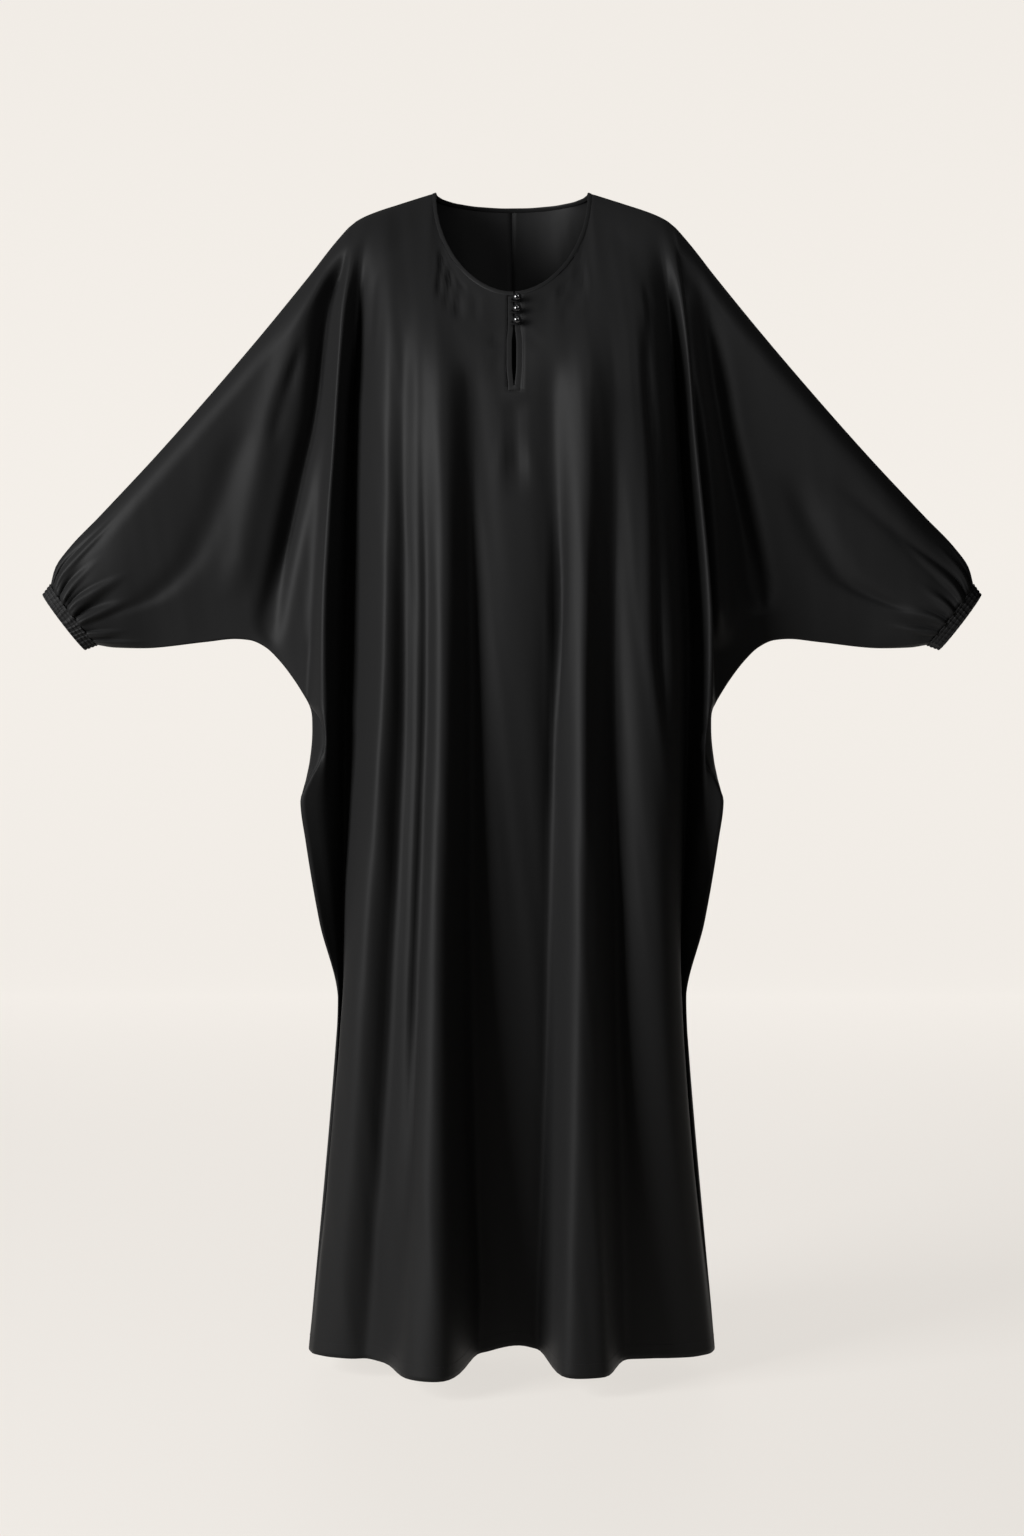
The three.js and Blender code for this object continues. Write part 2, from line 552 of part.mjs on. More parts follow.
// The lines of cloth of a panel between and at the folds of a table
function foldLines(folds, face) {
  const lines = [];
  folds.forEach((fold, k) => {
    const strips = k < folds.length - 1 ? fold.columns : 1;
    for (let n = 0; n < strips; n += 1) {
      const mixed = n === 0 ? fold : foldBetween(fold, folds[k + 1], n / strips);
      const slit = mixed.name === "slit";
      const outerRows = Math.abs(fold.x[0]) > SIDE_ROWS_FROM ? sideDowns : bodyDowns;
      lines.push({
        ...mixed,
        rows: slit ? slitDowns : outerRows,
        at: (down) => (slit ? slitPoint(mixed, down, SLOT_INSET) : foldPoint(mixed, down, face)),
      });
    }
  });
  return lines;
}
function linesBetween(from, to, strips) {
  return Array.from({ length: strips - 1 }, (_, n) => ({
    rows: sideDowns,
    at: (down) => from.at(down).lerp(to.at(down), (n + 1) / strips),
  }));
}
const sideEnd = (side, face) => ({ rows: sideDowns, at: (down) => sideLine(down, side, face) });

// A panel's body from its lines in order, with the seams along its top edge
function addBody(cloth, lines, face, flip) {
  const columns = lines.map((line) => cloth.column(line.rows, line.at));
  lines.forEach((line, k) => {
    const top = columns[k].slice(0, 1);
    if (!(line.top < 0)) cloth.end(top, apart(face));
    if (line.top <= 0) {
      const u = line.name === "slit" ? neckAt(cloth.points[top[0].index].x) : line.side * (1 + line.top);
      cloth.end(top, () => towardNeck(u, face), line.top === 0 ? CORNER_GAP : SEAM_GAP / 2);
    }
    if (k === 0) return;
    const overSlit = line.name === "slit" && lines[k - 1].name === "slit";
    const keep = (cells) => (overSlit ? cells.filter((cell) => cell.down >= SLOT_END) : cells);
    cloth.zip(keep(columns[k - 1]), keep(columns[k]), flip);
  });
  return columns;
}

// A sleeve, from the body's side column to the cuff
function addSleeve(cloth, sideColumn, side, face) {
  const columns = SLEEVE_COLUMNS.map((along) => {
    if (along === 0) return sideColumn.filter((cell) => aboveCorner(cell.down));
    const downs = along < GATHERED_FROM ? sideDowns.filter(aboveCorner) : gatheredDowns();
    return cloth.column(downs, (down) => sleevePoint(along, sleeveShare(down), side, face));
  });
  for (let n = 1; n < columns.length; n += 1) cloth.zip(columns[n - 1], columns[n], side === face);
  const ends = columns.slice(1);
  cloth.end(ends[ends.length - 1], () => cuffAxis(side));
  cloth.end(ends.map((cells) => cells[0]), apart(face));
  cloth.end(ends.map((cells) => cells[cells.length - 1]), apart(face));
  cloth.end(sideColumn.filter((cell) => cell.down >= CORNER_DOWN - 1e-9), apartAtSide(face));
}

function frontPanel() {
  const cloth = new Cloth();
  const folds = foldLines(FRONT_FOLDS, -1);
  const right = sideEnd(-1, -1);
  const left = sideEnd(1, -1);
  const beforeRight = linesBetween(right, folds[0], FRONT_FOLDS[0].columns);
  const beforeLeft = linesBetween(folds[folds.length - 1], left, FRONT_FOLDS[FRONT_FOLDS.length - 1].columns);
  const lines = [right, ...beforeRight, ...folds, ...beforeLeft, left];
  const columns = addBody(cloth, lines, -1, false);
  addSleeve(cloth, columns[0], -1, -1);
  addSleeve(cloth, columns[columns.length - 1], 1, -1);
  lines.forEach((line, k) => {
    if (line.name !== "slit") return;
    const beside = columns[k].filter((cell) => cell.down <= SLOT_END);
    cloth.end(beside, () => vector(-line.side, 0, 0));
    cloth.end(beside.slice(-1), () => vector(0, 0, 1));
  });
  for (const point of cloth.points) {
    const aside = (point.x - HEM_RISE.x) / HEM_RISE.halfWidth;
    point.z += HEM_RISE.height * Math.exp(-aside * aside) * smooth(HEM_RISE.from, HEM_Z, point.z);
  }
  return cloth;
}

function backPanel(side, table) {
  const cloth = new Cloth();
  const folds = foldLines(table, 1);
  const seam = sideEnd(side, 1);
  const edge = { rows: sideDowns, at: (down) => edgeLine(down, side) };
  const lines = [seam, ...linesBetween(seam, edge, 2), edge, ...linesBetween(edge, folds[0], 2), ...folds];
  const columns = addBody(cloth, lines, 1, side < 0);
  addSleeve(cloth, columns[0], side, 1);
  cloth.end(columns[columns.length - 1], () => vector(-side, 0, 0));
  return cloth;
}

// A strip of trim along a path: its rows run across it, and each is a list of points along the path
function strip(rows, flip) {
  const cloth = new Cloth();
  const columns = rows.map((points) => cloth.column(points.map((_, k) => k), (k) => points[k]));
  for (let n = 1; n < columns.length; n += 1) cloth.zip(columns[n - 1], columns[n], flip);
  return { cloth, columns };
}

// The neck binding, from one edge of the slit round the back to the other, in the steps of the panels' edges
function neckBinding() {
  const neckZ = neckCurve(1, PANEL_INSET, -1).z;
  const steps = (folds, face) =>
    foldLines(folds, face)
      .filter((line) => line.top <= 0 && line.top > -1 && line.name !== "slit")
      .map((line) => ({ u: line.side * (1 + line.top), face }));
  const front = steps(FRONT_FOLDS, -1);
  const ends = [-1, 1].map((side) =>
    [0, SLOT_INSET].map((inset) => ({ u: neckAt(slitEdgeX(neckZ, side, inset)), face: -1 })),
  );
  const path = [
    ...ends[0],
    ...front.filter(({ u }) => u < 0).reverse(),
    ...steps(BACK_RIGHT_FOLDS, 1).filter(({ u }) => u > -1),
    { u: 0, face: 1 },
    ...steps(BACK_LEFT_FOLDS, 1).filter(({ u }) => u < 1).reverse(),
    ...front.filter(({ u }) => u > 0).reverse(),
    ...ends[1].reverse(),
  ];
  const rows = [0, 0.35, 0.7, 1].map((share) =>
    path.map(({ u, face }) => {
      return neckPoint(u, PANEL_INSET, face).addScaledVector(towardNeck(u, face), share * BINDING_WIDTH);
    }),
  );
  const { cloth, columns } = strip(rows, true);
  columns[0].forEach((cell, k) => cloth.end([cell], () => towardNeck(path[k].u, path[k].face).negate()));
  return wall(cloth, BINDING_THICKNESS);
}

// The binding of the slit: down its one edge, across the bottom and up the other
function slitBinding() {
  const rows = SLIT_ROWS.filter((down) => down <= SLOT_END);
  const slits = FRONT_FOLDS.filter((fold) => fold.name === "slit");
  const bottom = SLIT[SLIT.length - 1].z;
  const edge = (inset) => {
    const [down, up] = slits.map((fold) => rows.map((row) => slitPoint(fold, row, inset)));
    return [...down, ...up.reverse()];
  };
  const outer = edge(SLOT_INSET);
  const inner = edge(0);
  for (const point of inner) point.z = Math.max(point.z, bottom);
  const middle = outer.map((point, k) => point.clone().lerp(inner[k], 0.5));
  const { cloth, columns } = strip([outer, middle, inner], false);
  const last = rows.length;
  columns[0].forEach((cell, k) => {
    cloth.end([cell], () => vector(k < last ? -1 : 1, 0, 0));
    if (k === last - 1 || k === last) cloth.end([cell], () => vector(0, 0, -1));
  });
  for (const cells of columns) {
    for (const cell of [cells[0], cells[cells.length - 1]]) {
      cloth.end([cell], (point) => towardNeck(neckAt(point.x), -1));
    }
  }
  return wall(cloth, SLIT_BINDING_THICKNESS);
}

// A gathered elastic cuff: a ring whose outer points are raised in ribs over a plain inside
function cuff(side) {
  const cloth = new Cloth();
  const axis = cuffAxis(side);
  const centre = vector((side * (cuffTop.x + cuffBottom.x)) / 2, 0, (cuffTop.z + cuffBottom.z) / 2);
  const toTop = vector(side * cuffTop.x, 0, cuffTop.z).sub(centre);
  const steps = [0, 0.3, 0.7, 1];
  const sides = 2 * CUFF_RIBS;
  const columns = Array.from({ length: sides }, (_, k) => {
    const angle = (2 * Math.PI * k) / sides;
    return cloth.column(steps, (t) => {
      const size = lerp(1, CUFF_RIM_SHARE, t);
      return centre
        .clone()
        .addScaledVector(axis, t * CUFF_LENGTH)
        .addScaledVector(toTop, size * Math.cos(angle))
        .add(vector(0, -CUFF_HALF_DEPTH * size * Math.sin(angle), 0));
    });
  });
  columns.forEach((cells, k) => cloth.zip(cells, columns[(k + 1) % sides], side < 0));
  cloth.end(columns.map((cells) => cells[0]), () => axis.clone().negate());
  const column = (k) => Math.floor(k / steps.length);
  return wall(cloth, CUFF_THICKNESS, (k) => (column(k) % 2 ? CUFF_RIB_HEIGHT : 0));
}

// A ball button on its shank, standing on its y axis
function button(number) {
  const ballAt = SHANK_LENGTH + Math.sqrt(BUTTON_RADIUS ** 2 - SHANK_RADIUS ** 2);
  const start = Math.asin(SHANK_RADIUS / BUTTON_RADIUS);
  const steps = 9;
  const ball = Array.from({ length: steps }, (_, k) => {
    const angle = lerp(start, Math.PI, k / steps);
    return new THREE.Vector2(BUTTON_RADIUS * Math.sin(angle), ballAt - BUTTON_RADIUS * Math.cos(angle));
  });
  const axis = [new THREE.Vector2(0, 0), new THREE.Vector2(0, ballAt + BUTTON_RADIUS)];
  const profile = [axis[0], new THREE.Vector2(SHANK_RADIUS, 0), ...ball, axis[1]];
  return mesh(`button_${number}`, new THREE.LatheGeometry(profile, 14), BUTTON_LOOK);
}

// The cord loop that comes from the other edge of the slit and goes round the button's shank
function buttonLoop(number) {
  const away = SHANK_RADIUS + LOOP_RADIUS + SEAM_GAP;
  const endX = LOOP_END_X - BUTTON_X;
  const half = [
    vector(endX, LOOP_RADIUS, -0.6 * away),
    vector(endX / 2, LOOP_RADIUS, -0.9 * away),
    vector(0, LOOP_RADIUS, -away),
  ];
  const other = half.map(({ x, y, z }) => vector(x, y, -z)).reverse();
  const extrudePath = new THREE.CatmullRomCurve3([...half, vector(away, LOOP_RADIUS, 0), ...other]);
  const section = new THREE.Shape().absarc(0, 0, LOOP_RADIUS, 0, 2 * Math.PI);
  const cord = new THREE.ExtrudeGeometry(section, { steps: 16, curveSegments: 3, extrudePath });
  return mesh(`loop_${number}`, cord, TRIM_LOOK);
}

// A button and its loop on the face of the slit's binding, which leans back as the chest does
function fastening(number) {
  const slit = FRONT_FOLDS.filter((fold) => fold.name === "slit")[1];
  const z = FIRST_BUTTON_Z - (number - 1) * BUTTON_PITCH;
  const topZ = slitPoint(slit, 0, 0).z;
  const clothY = (height) => slitPoint(slit, (height - topZ) / (BUST_Z - topZ), 0).y;
  const lean = Math.atan((clothY(z + BUTTON_RADIUS) - clothY(z - BUTTON_RADIUS)) / (2 * BUTTON_RADIUS));
  const place = new THREE.Group();
  place.rotation.x = Math.PI - lean;
  place.position.set(BUTTON_X, clothY(z), z);
  place.translateY(SLIT_BINDING_THICKNESS / 2 + SEAM_GAP);
  place.add(button(number), buttonLoop(number));
  return place;
}

const group = new THREE.Group();
group.add(
  mesh("front", wall(frontPanel(), CLOTH), CLOTH_LOOK),
  mesh("back_right", wall(backPanel(-1, BACK_RIGHT_FOLDS), CLOTH), CLOTH_LOOK),
  mesh("back_left", wall(backPanel(1, BACK_LEFT_FOLDS), CLOTH), CLOTH_LOOK),
  mesh("cuff_right", cuff(-1), CLOTH_LOOK),
  mesh("cuff_left", cuff(1), CLOTH_LOOK),
  mesh("neck_binding", neckBinding(), TRIM_LOOK),
  mesh("slit_binding", slitBinding(), TRIM_LOOK),
);
for (let number = 1; number <= BUTTON_COUNT; number += 1) group.add(fastening(number));

export default group;
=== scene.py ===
"""A full-length black satin abaya, worn on nobody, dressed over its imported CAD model.

The cloth pieces are fine shells on tables of fold lines like their solids' own, with the creases, gathers and
wrinkles that the solids leave out. Lengths are in millimetres until a mesh is made, in metres. x is to the
wearer's left, y to the back and z up; side is -1 on the wearer's right, and face is -1 on the front.
"""

import math
from collections import namedtuple

import bmesh
import bpy
import mathutils
import numpy as np
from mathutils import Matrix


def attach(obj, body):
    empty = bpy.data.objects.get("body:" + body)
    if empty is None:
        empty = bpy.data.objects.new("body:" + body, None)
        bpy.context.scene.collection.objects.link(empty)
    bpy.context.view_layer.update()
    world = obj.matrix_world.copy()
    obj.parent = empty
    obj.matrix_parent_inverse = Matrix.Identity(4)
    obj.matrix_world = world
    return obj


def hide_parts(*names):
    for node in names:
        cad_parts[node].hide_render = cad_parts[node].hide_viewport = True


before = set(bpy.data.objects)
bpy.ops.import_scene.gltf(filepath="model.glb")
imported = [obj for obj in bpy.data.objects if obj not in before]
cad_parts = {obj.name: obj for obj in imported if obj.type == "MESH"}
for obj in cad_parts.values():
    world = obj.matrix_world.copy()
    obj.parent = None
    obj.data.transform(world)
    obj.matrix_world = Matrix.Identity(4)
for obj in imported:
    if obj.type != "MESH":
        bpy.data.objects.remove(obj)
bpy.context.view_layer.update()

MM = 0.001

# Driving dimensions. The solids share them, apart from the neck's slope, the gathers, ruches and stitches
CLOTH = 1.6
SEAM_GAP = 0.3
HEM_Z = -1401.0
HEM_RISE = 12.0
HEM_RISE_X = 6.0
HEM_RISE_HALF_WIDTH = 36.0
HEM_RISE_FROM = -1150.0
BUST_Z = -250.0
BUST_DEPTH = 132.0
BLADE_DEPTH = 101.0
CHEST_HALF_WIDTH = 262.0
NECK_HALF_WIDTH = 92.4
NECK_POINT_Z = 20.0
NECK_FRONT_DROP = 139.5
NECK_FRONT_DEPTH = 95.0
NECK_BACK_DROP = 6.0
NECK_BACK_DEPTH = 55.0
NECK_ROUNDNESS = 1.9
NECK_SLOPE_REACH = 110.0
NECK_POINT_FALL = 0.38
CHEST_ROUNDNESS = 2.6
CHEST_SPREAD = 0.7
BINDING_WIDTH = 5.0
BINDING_THICKNESS = 2.6
BINDING_LAP = 0.7
BINDING_STEPS = 90
STRIP_SQUARENESS = (0.55, 0.75)
PANEL_INSET = BINDING_WIDTH + SEAM_GAP
SLIT_X = 2.6
SLIT_BINDING_WIDTH = 6.0
SLIT_BINDING_THICKNESS = 2.2
SLOT_INSET = SLIT_BINDING_WIDTH + SEAM_GAP
SLOT_END = 0.94
SLIT_TOP = 0.012
BUTTON_RADIUS = 5.2
BUTTON_COUNT = 3
BUTTON_PITCH = 14.3
FIRST_BUTTON_Z = -131.5
BUTTON_X = SLIT_X + 3.6
SHANK_RADIUS = 1.4
SHANK_LENGTH = 2.4
LOOP_RADIUS = 0.8
LOOP_END_X = SLIT_X - 4.2
LOOP_STRANDS = 3
LOOP_TWISTS_PER_MM = 0.35
LOOP_GROOVES = 0.1
CUFF_LENGTH = 15.5
CUFF_RIM_SHARE = 0.9
CUFF_THICKNESS = 2.4
CUFF_RIBS = 34
CUFF_RIB_HEIGHT = 1.25
CUFF_HALF_DEPTH = 26.0
CUFF_SHELL = 1.4
CUFF_FROM = 0.012
CUFF_RUCHES = (0.45, 0.42, 0.22)
CUFF_PINCH = (0.45, 0.35)
ELASTIC_ROWS = (0.2, 0.5, 0.8)
ELASTIC_WIDTH = 0.05
ARM_HALF_DEPTH = 50.0
WRIST_EASE = 8.0
ARM_ROUNDING = 1.15
TAPER_FROM = 0.6
TAPER_LEFT = 0.03
TAPER_POWER = 1.25
TUBE_FROM = 0.7
SLEEVE_START = 117.0
GATHERS_PER_SIDE = 8
GATHER_HEIGHT = 4.945
GATHERED_FROM = 0.84
GATHERS_GROW_OVER = 0.11
GATHERED_FULLY = 0.97
GATHERS_AT_CUFF = 0.45
PUCKERS_PER_GATHER = 2.6
PUCKER_HEIGHT = 1.505
UNDERARM_CLOSING = 0.04
UNDERARM_HALF_GAP = 1.0
HEM_STITCH_ROWS = 4
SLIT_STITCH_SHARE = 0.35
STITCH_PITCH = 3.0
STITCH_LENGTH = 2.3
STITCH_RADIUS = 0.22

# Fineness of the shells
CHEST_STEPS = 46
BODY_STEP = 5.6
ACROSS_STEP = 5.4
SLEEVE_STEPS = 74
SIDE_STEPS = {-1: 6, 1: 4}
SHELL = 0.9
SEAM_STEPS = 3
HELD_AT_TOP = 0.07
RELAX_PASSES = 3

# How much deeper and lower the neck gets for each mm that its edge is moved out, in front and at the back
NECK_WIDENING = {-1: (0.3, 0.62), 1: (0.6, 0.45)}

# Half the width that the slit stands open, down its length
SLIT_Z = (-119, -162, -185, -212, -236)
SLIT_HALF_GAP = (0.7, 0.7, 2.5, 2.4, 0.4)

OVERARM = {
    "x": [92.4, 138, 175, 193, 212, 249, 323, 434, 507, 544, 562, 567],
    "z": [20, 5.3, -8.2, -18.1, -37.8, -84.6, -174.5, -301.3, -378.9, -417.1, -443, -463],
}
UNDERARM = {
    "x": [249, 267, 286, 304, 323, 341, 378, 452, 489, 512],
    "z": [-610, -581, -556, -539, -530.5, -529, -532.8, -540, -539, -535.5],
}
CORNER_Z = UNDERARM["z"][0]

Side = namedtuple("Side", "z seam_x seam_y edge_x edge_y")
SIDE = [
    Side(-610, 249, -2, 249, 5),
    Side(-629, 233, -34, 251.3, 2),
    Side(-653, 226, -52, 253.8, 0),
    Side(-680, 232, -62, 255.5, 0),
    Side(-704, 245, -64, 257.5, 2),
    Side(-728, 254.5, -62, 258.6, 4),
    Side(-777, 249, -52, 251.5, 6),
    Side(-875, 234, -32, 236.5, 8),
    Side(-975, 213, -6, 214, 12),
    Side(-1030, 216.5, 0, 216.5, 14),
    Side(-1401, 249, 0, 248, 16),
]
EDGE = [Side(-250, 0, 0, 214, 46), Side(-540, 0, 0, 235, 22), *SIDE]
EDGE_TOP = 106.0

# The long folds: side, top (mm along the shoulder, or below 0 the share of the neck curve), start (share of
# the chest where the fold begins), x and y at the bust, underarm, knee and hem
Fold = namedtuple("Fold", "name side top start x y")
FRONT_FOLDS = [
    Fold("wing", -1, 100, 0.3, (-210, -227, -213, -248.3), (-80, -82, -12, -9)),
    Fold("valley", -1, 80, 0.04, (-198, -204, -206, -247), (-8, 2, 2, -16)),
    Fold("edge", -1, 58, 0.12, (-168, -167, -201, -240), (-86, -88, -68, -36)),
    Fold("ridge", -1, 44, 0.3, (-145, -150, -173, -199), (-114, -120, -108, -58)),
    Fold("dip", -1, 30, 0.5, (-128, -127, -140, -171), (-114, -102, -90, -54)),
    Fold("flank", -1, 14, 0.5, (-114, -108, -120, -147), (-128, -122, -115, -84)),
    Fold("crease", -1, 0, 0.5, (-107, -102, -114, -129), (-129, -118, -112, -150)),
    Fold("lobe", -1, -0.2, 0.5, (-83, -79, -88, -91), (-138, -141, -151, -173)),
    Fold("trough", -1, -0.6, 0.5, (-52, -52, -55, -46), (-119, -93, -76, -40)),
    Fold("slit", -1, -0.967, 0.5, (-7, 2, 6, 0), (-123, -110, -82, -42)),
    Fold("slit", 1, -0.93, 0.5, (12.3, 18, 20, 12), (-124, -110, -82, -42)),
    Fold("trough", 1, -0.6, 0.5, (51, 53, 49, 38), (-119, -97, -74, -40)),
    Fold("lobe", 1, -0.2, 0.5, (86, 85, 80, 69), (-136, -137, -145, -158)),
    Fold("flank", 1, 0, 0.5, (106, 98, 98, 114), (-129, -122, -136, -148)),
    Fold("dip", 1, 22, 0.5, (120, 119, 121, 133), (-121, -100, -86, -62)),
    Fold("ridge", 1, 44, 0.4, (148, 154, 174, 203), (-115, -116, -104, -54)),
    Fold("edge", 1, 58, 0.12, (178, 190, 204, 240), (-98, -108, -68, -36)),
    Fold("valley", 1, 80, 0.04, (202, 214, 206, 247), (-8, 2, 2, -16)),
    Fold("wing", 1, 100, 0.3, (216, 241, 213, 248.3), (-88, -96, -12, -9)),
]
BACK_FOLDS = {
    -1: [
        Fold("valley", -1, 88, 0.06, (-195, -200, -206, -243), (40, 34, 26, 36)),
        Fold("edge", -1, 72, 0.1, (-172, -182, -201, -230), (72, 78, 76, 68)),
        Fold("ridge", -1, 50, 0.4, (-141, -150, -166, -190), (97, 112, 118, 112)),
        Fold("dip", -1, 22, 0.5, (-106, -112, -120, -134), (96, 88, 82, 74)),
        Fold("neck", -1, 0, 0.5, (-88, -90, -96, -106), (99, 100, 106, 116)),
        Fold("lobe", -1, -0.3, 0.5, (-64, -66, -71, -78), (102, 116, 134, 158)),
        Fold("inner dip", -1, -0.65, 0.5, (-33, -31, -34, -37), (97, 93, 88, 86)),
        Fold("centre", -1, -1, 0.5, (0, 0, 0, 0), (97, 103, 108, 116)),
    ],
    1: [
        Fold("valley", 1, 88, 0.06, (198, 203, 208, 244), (40, 32, 26, 34)),
        Fold("edge", 1, 72, 0.1, (174, 183, 203, 232), (72, 76, 76, 66)),
        Fold("ridge", 1, 50, 0.4, (146, 154, 172, 198), (96, 110, 120, 116)),
        Fold("dip", 1, 24, 0.5, (112, 118, 128, 144), (96, 89, 80, 70)),
        Fold("neck", 1, 0, 0.5, (90, 94, 103, 116), (99, 101, 104, 112)),
        Fold("lobe", 1, -0.3, 0.5, (68, 72, 80, 90), (102, 114, 128, 150)),
        Fold("inner dip", 1, -0.65, 0.5, (36, 36, 41, 45), (97, 95, 90, 82)),
        Fold("centre", 1, -1, 0.5, (0, 0, 0, 0), (97, 103, 108, 116)),
    ],
}
STATION_Z = (BUST_Z, -540.0, -940.0, HEM_Z)
# How much steeper than a straight line between two folds the cloth is beside a dip, at each station; the
# valleys at the arms are left out of this
DIP_STEEPNESS = (1.6, 2.1, 2.5, 3.0)

# The main folds of the sleeves, by face and side: x away from the centre and z along each, its width and how
# far it stands out. Below them, how they fade at their ends, near the sleeve's edges and towards the cuff
Crease = namedtuple("Crease", "x z width height")
SLEEVE_FOLDS = {
    (-1, -1): [
        Crease((202, 206, 211, 216, 222, 229), (-110, -190, -266, -339, -436, -533), 13, 22),
        Crease((206, 222, 230, 243, 260, 299, 306), (-70, -119, -175, -265, -338, -516, -560), 10.5, -22),
        Crease((230, 282, 312, 338), (-80, -220, -340, -470), 17, 6),
        Crease((330, 385, 440, 500), (-280, -420, -478, -504), 17, -4),
    ],
    (-1, 1): [
        Crease((212, 228, 243, 252, 277, 305), (-70, -150, -218, -266, -363, -490), 15, -24),
        Crease((214, 220, 225, 233, 240, 248, 254), (-80, -140, -217, -266, -339, -436, -530), 14, 34),
        Crease((342, 404, 470, 527), (-337, -453, -490, -503), 17, -8),
        Crease((404, 469, 536), (-346, -400, -460), 15, -5),
    ],
    (1, -1): [
        Crease((215, 262, 290, 318), (-90, -240, -360, -490), 16, -20),
        Crease((338, 396, 455, 515), (-290, -420, -470, -495), 16, -12),
    ],
    (1, 1): [
        Crease((218, 266, 296, 324), (-96, -250, -370, -490), 16, -20),
        Crease((350, 410, 468, 522), (-300, -430, -482, -505), 16, -12),
    ],
}
FOLD_ENDS = (20, 40)
FOLD_EDGES = (0.12, 0.86)
FOLDS_UNTIL = 0.9

# The heights that the longest thin line goes through, on down past the hem
LONG_LINE_Z = (-277, -441, -631, -844, -962, -1080, -1198, -1316, -1900)
# Smaller creases listed one by one on the front, with x signed: troughs have a height below 0
CREASES = [
    # short gathers that hang from the neck
    Crease((-83, -86, -88), (-60, -95, -136), 3.4, -3.6),
    Crease((-72, -76, -79), (-80, -112, -150), 3.4, -4.0),
    Crease((-60, -63, -65), (-98, -126, -162), 3.6, -3.8),
    Crease((-42, -43, -43), (-118, -140, -166), 3.4, -1.8),
    Crease((61, 64, 66), (-98, -128, -166), 3.6, -3.7),
    Crease((71, 75, 78), (-80, -112, -152), 3.4, -3.9),
    Crease((81, 84, 86), (-60, -96, -138), 3.4, -3.6),
    Crease((42, 44, 45), (-118, -140, -164), 3.4, -1.7),
    # a star of creases below the buttons, and the soft fold under the slit
    Crease((-4, -16, -30), (-165, -176, -196), 4, -1.6),
    Crease((10, 22, 38), (-165, -178, -196), 4, -1.6),
    Crease((-5, -14, -22), (-172, -196, -228), 4, -1.5),
    Crease((3, 4, 8), (-246, -300, -380), 8, -6.0),
    # the right sleeve, where a thin fold runs beside the deep one
    Crease((-252, -266, -282, -294), (-160, -210, -258, -306), 6, -3.2),
    # the shoulders, where the cloth drags from the neck to the arm
    Crease((-118, -150, -176), (-30, -70, -130), 12, -1.2),
    Crease((118, 150, 180), (-30, -74, -140), 12, -1.2),
    # thin lines beside the big folds
    Crease((-98, -99, -102, -108, -114, -119, -126, -134, -169), LONG_LINE_Z, 6, -5.6),
    Crease((55, 55, 54, 51, 46), (-300, -441, -536, -631, -780), 5, -9),
    Crease((158, 163, 174, 177, 178, 185, 193), (-132, -227, -346, -441, -536, -631, -726), 7, -11),
    # thin lines beside the outer valleys
    Crease((-165, -168, -170), (-88, -140, -200), 4, -3.0),
    Crease((160, 165, 166), (-96, -150, -210), 4, -2.6),
]
# How far a crease acts, in its widths; how uneven its height and width are; where along it, as shares, it has
# its full height; and the low rim beside it, as a share of its height, a place in its widths and a spread
CREASE_REACH = 4
CREASE_UNEVEN = (0.25, 0.2)
CREASE_FULL = (0.3, 0.65)
CREASE_RIM = (0.1, 2.1, 0.5)
CREASE_SEED = 3

# The long shallow waves: width, length and height, and where out along the sleeve they calm down
RIPPLES = ((34, 300, 0.175), (22, 210, 0.1), (60, 460, 0.3), (15, 120, 0.05))
RIPPLE_CALMS = (225, 285)
RIPPLE_ON_SLEEVE = 0.3
RIPPLE_SEEDS = {-1: 7, 1: 11}


def smooth(low, high, value):
    """0 at low and 1 at high, with an S curve between them."""
    t = np.clip((np.asarray(value, float) - low) / (high - low), 0, 1)
    return t * t * (3 - 2 * t)


def through(knots, values, at):
    """A smooth curve through a table's values, which doesn't overshoot between its knots."""
    knots = np.asarray(knots, float)
    values = np.asarray(values, float)
    at = np.asarray(at, float)
    if knots[-1] < knots[0]:
        knots, at = -knots, -at
    slope = np.diff(values) / np.diff(knots)
    product = slope[:-1] * slope[1:]
    total = np.where(product > 0, slope[:-1] + slope[1:], 1)
    tangent = np.concatenate(([slope[0]], np.where(product > 0, 2 * product / total, 0), [slope[-1]]))
    at = np.clip(at, knots[0], knots[-1])
    i = np.clip(np.searchsorted(knots, at, side="right") - 1, 0, len(knots) - 2)
    span = knots[i + 1] - knots[i]
    t = (at - knots[i]) / span
    rise = (values[i + 1] - values[i]) * t * t * (3 - 2 * t)
    return values[i] + rise + t * (1 - t) * span * (tangent[i] * (1 - t) - tangent[i + 1] * t)


def mix(a, b, t):
    """a at 0 and b at 1."""
    return a + (b - a) * t


def rounded(t):
    """0 at 0 and 1 at 1, like a quarter of a circle."""
    return np.sqrt(1 - (1 - t) ** 2)


def waves(at, *terms):
    """A sum of sine waves, each with its height, its turns for 1 of at, and its phase in turns."""
    return sum(height * np.sin(2 * math.pi * (rate * at + phase)) for height, rate, phase in terms)


def points(x, y, z):
    """An array of points, from any mix of numbers and arrays."""
    x, y, z = np.broadcast_arrays(x, y, z)
    return np.stack([x, y, z], axis=-1).astype(float)


class Outline:
    """An outline table as a curve by its length."""

    def __init__(self, table):
        steps = np.hypot(np.diff(table["x"]), np.diff(table["z"]))
        self.length = np.concatenate(([0], np.cumsum(steps)))
        self.total = self.length[-1]
        self.table = table

    def at(self, s):
        return through(self.length, self.table["x"], s), through(self.length, self.table["z"], s)


overarm = Outline(OVERARM)
underarm = Outline(UNDERARM)
SLEEVE_TOP_Z = float(overarm.at(SLEEVE_START)[1])


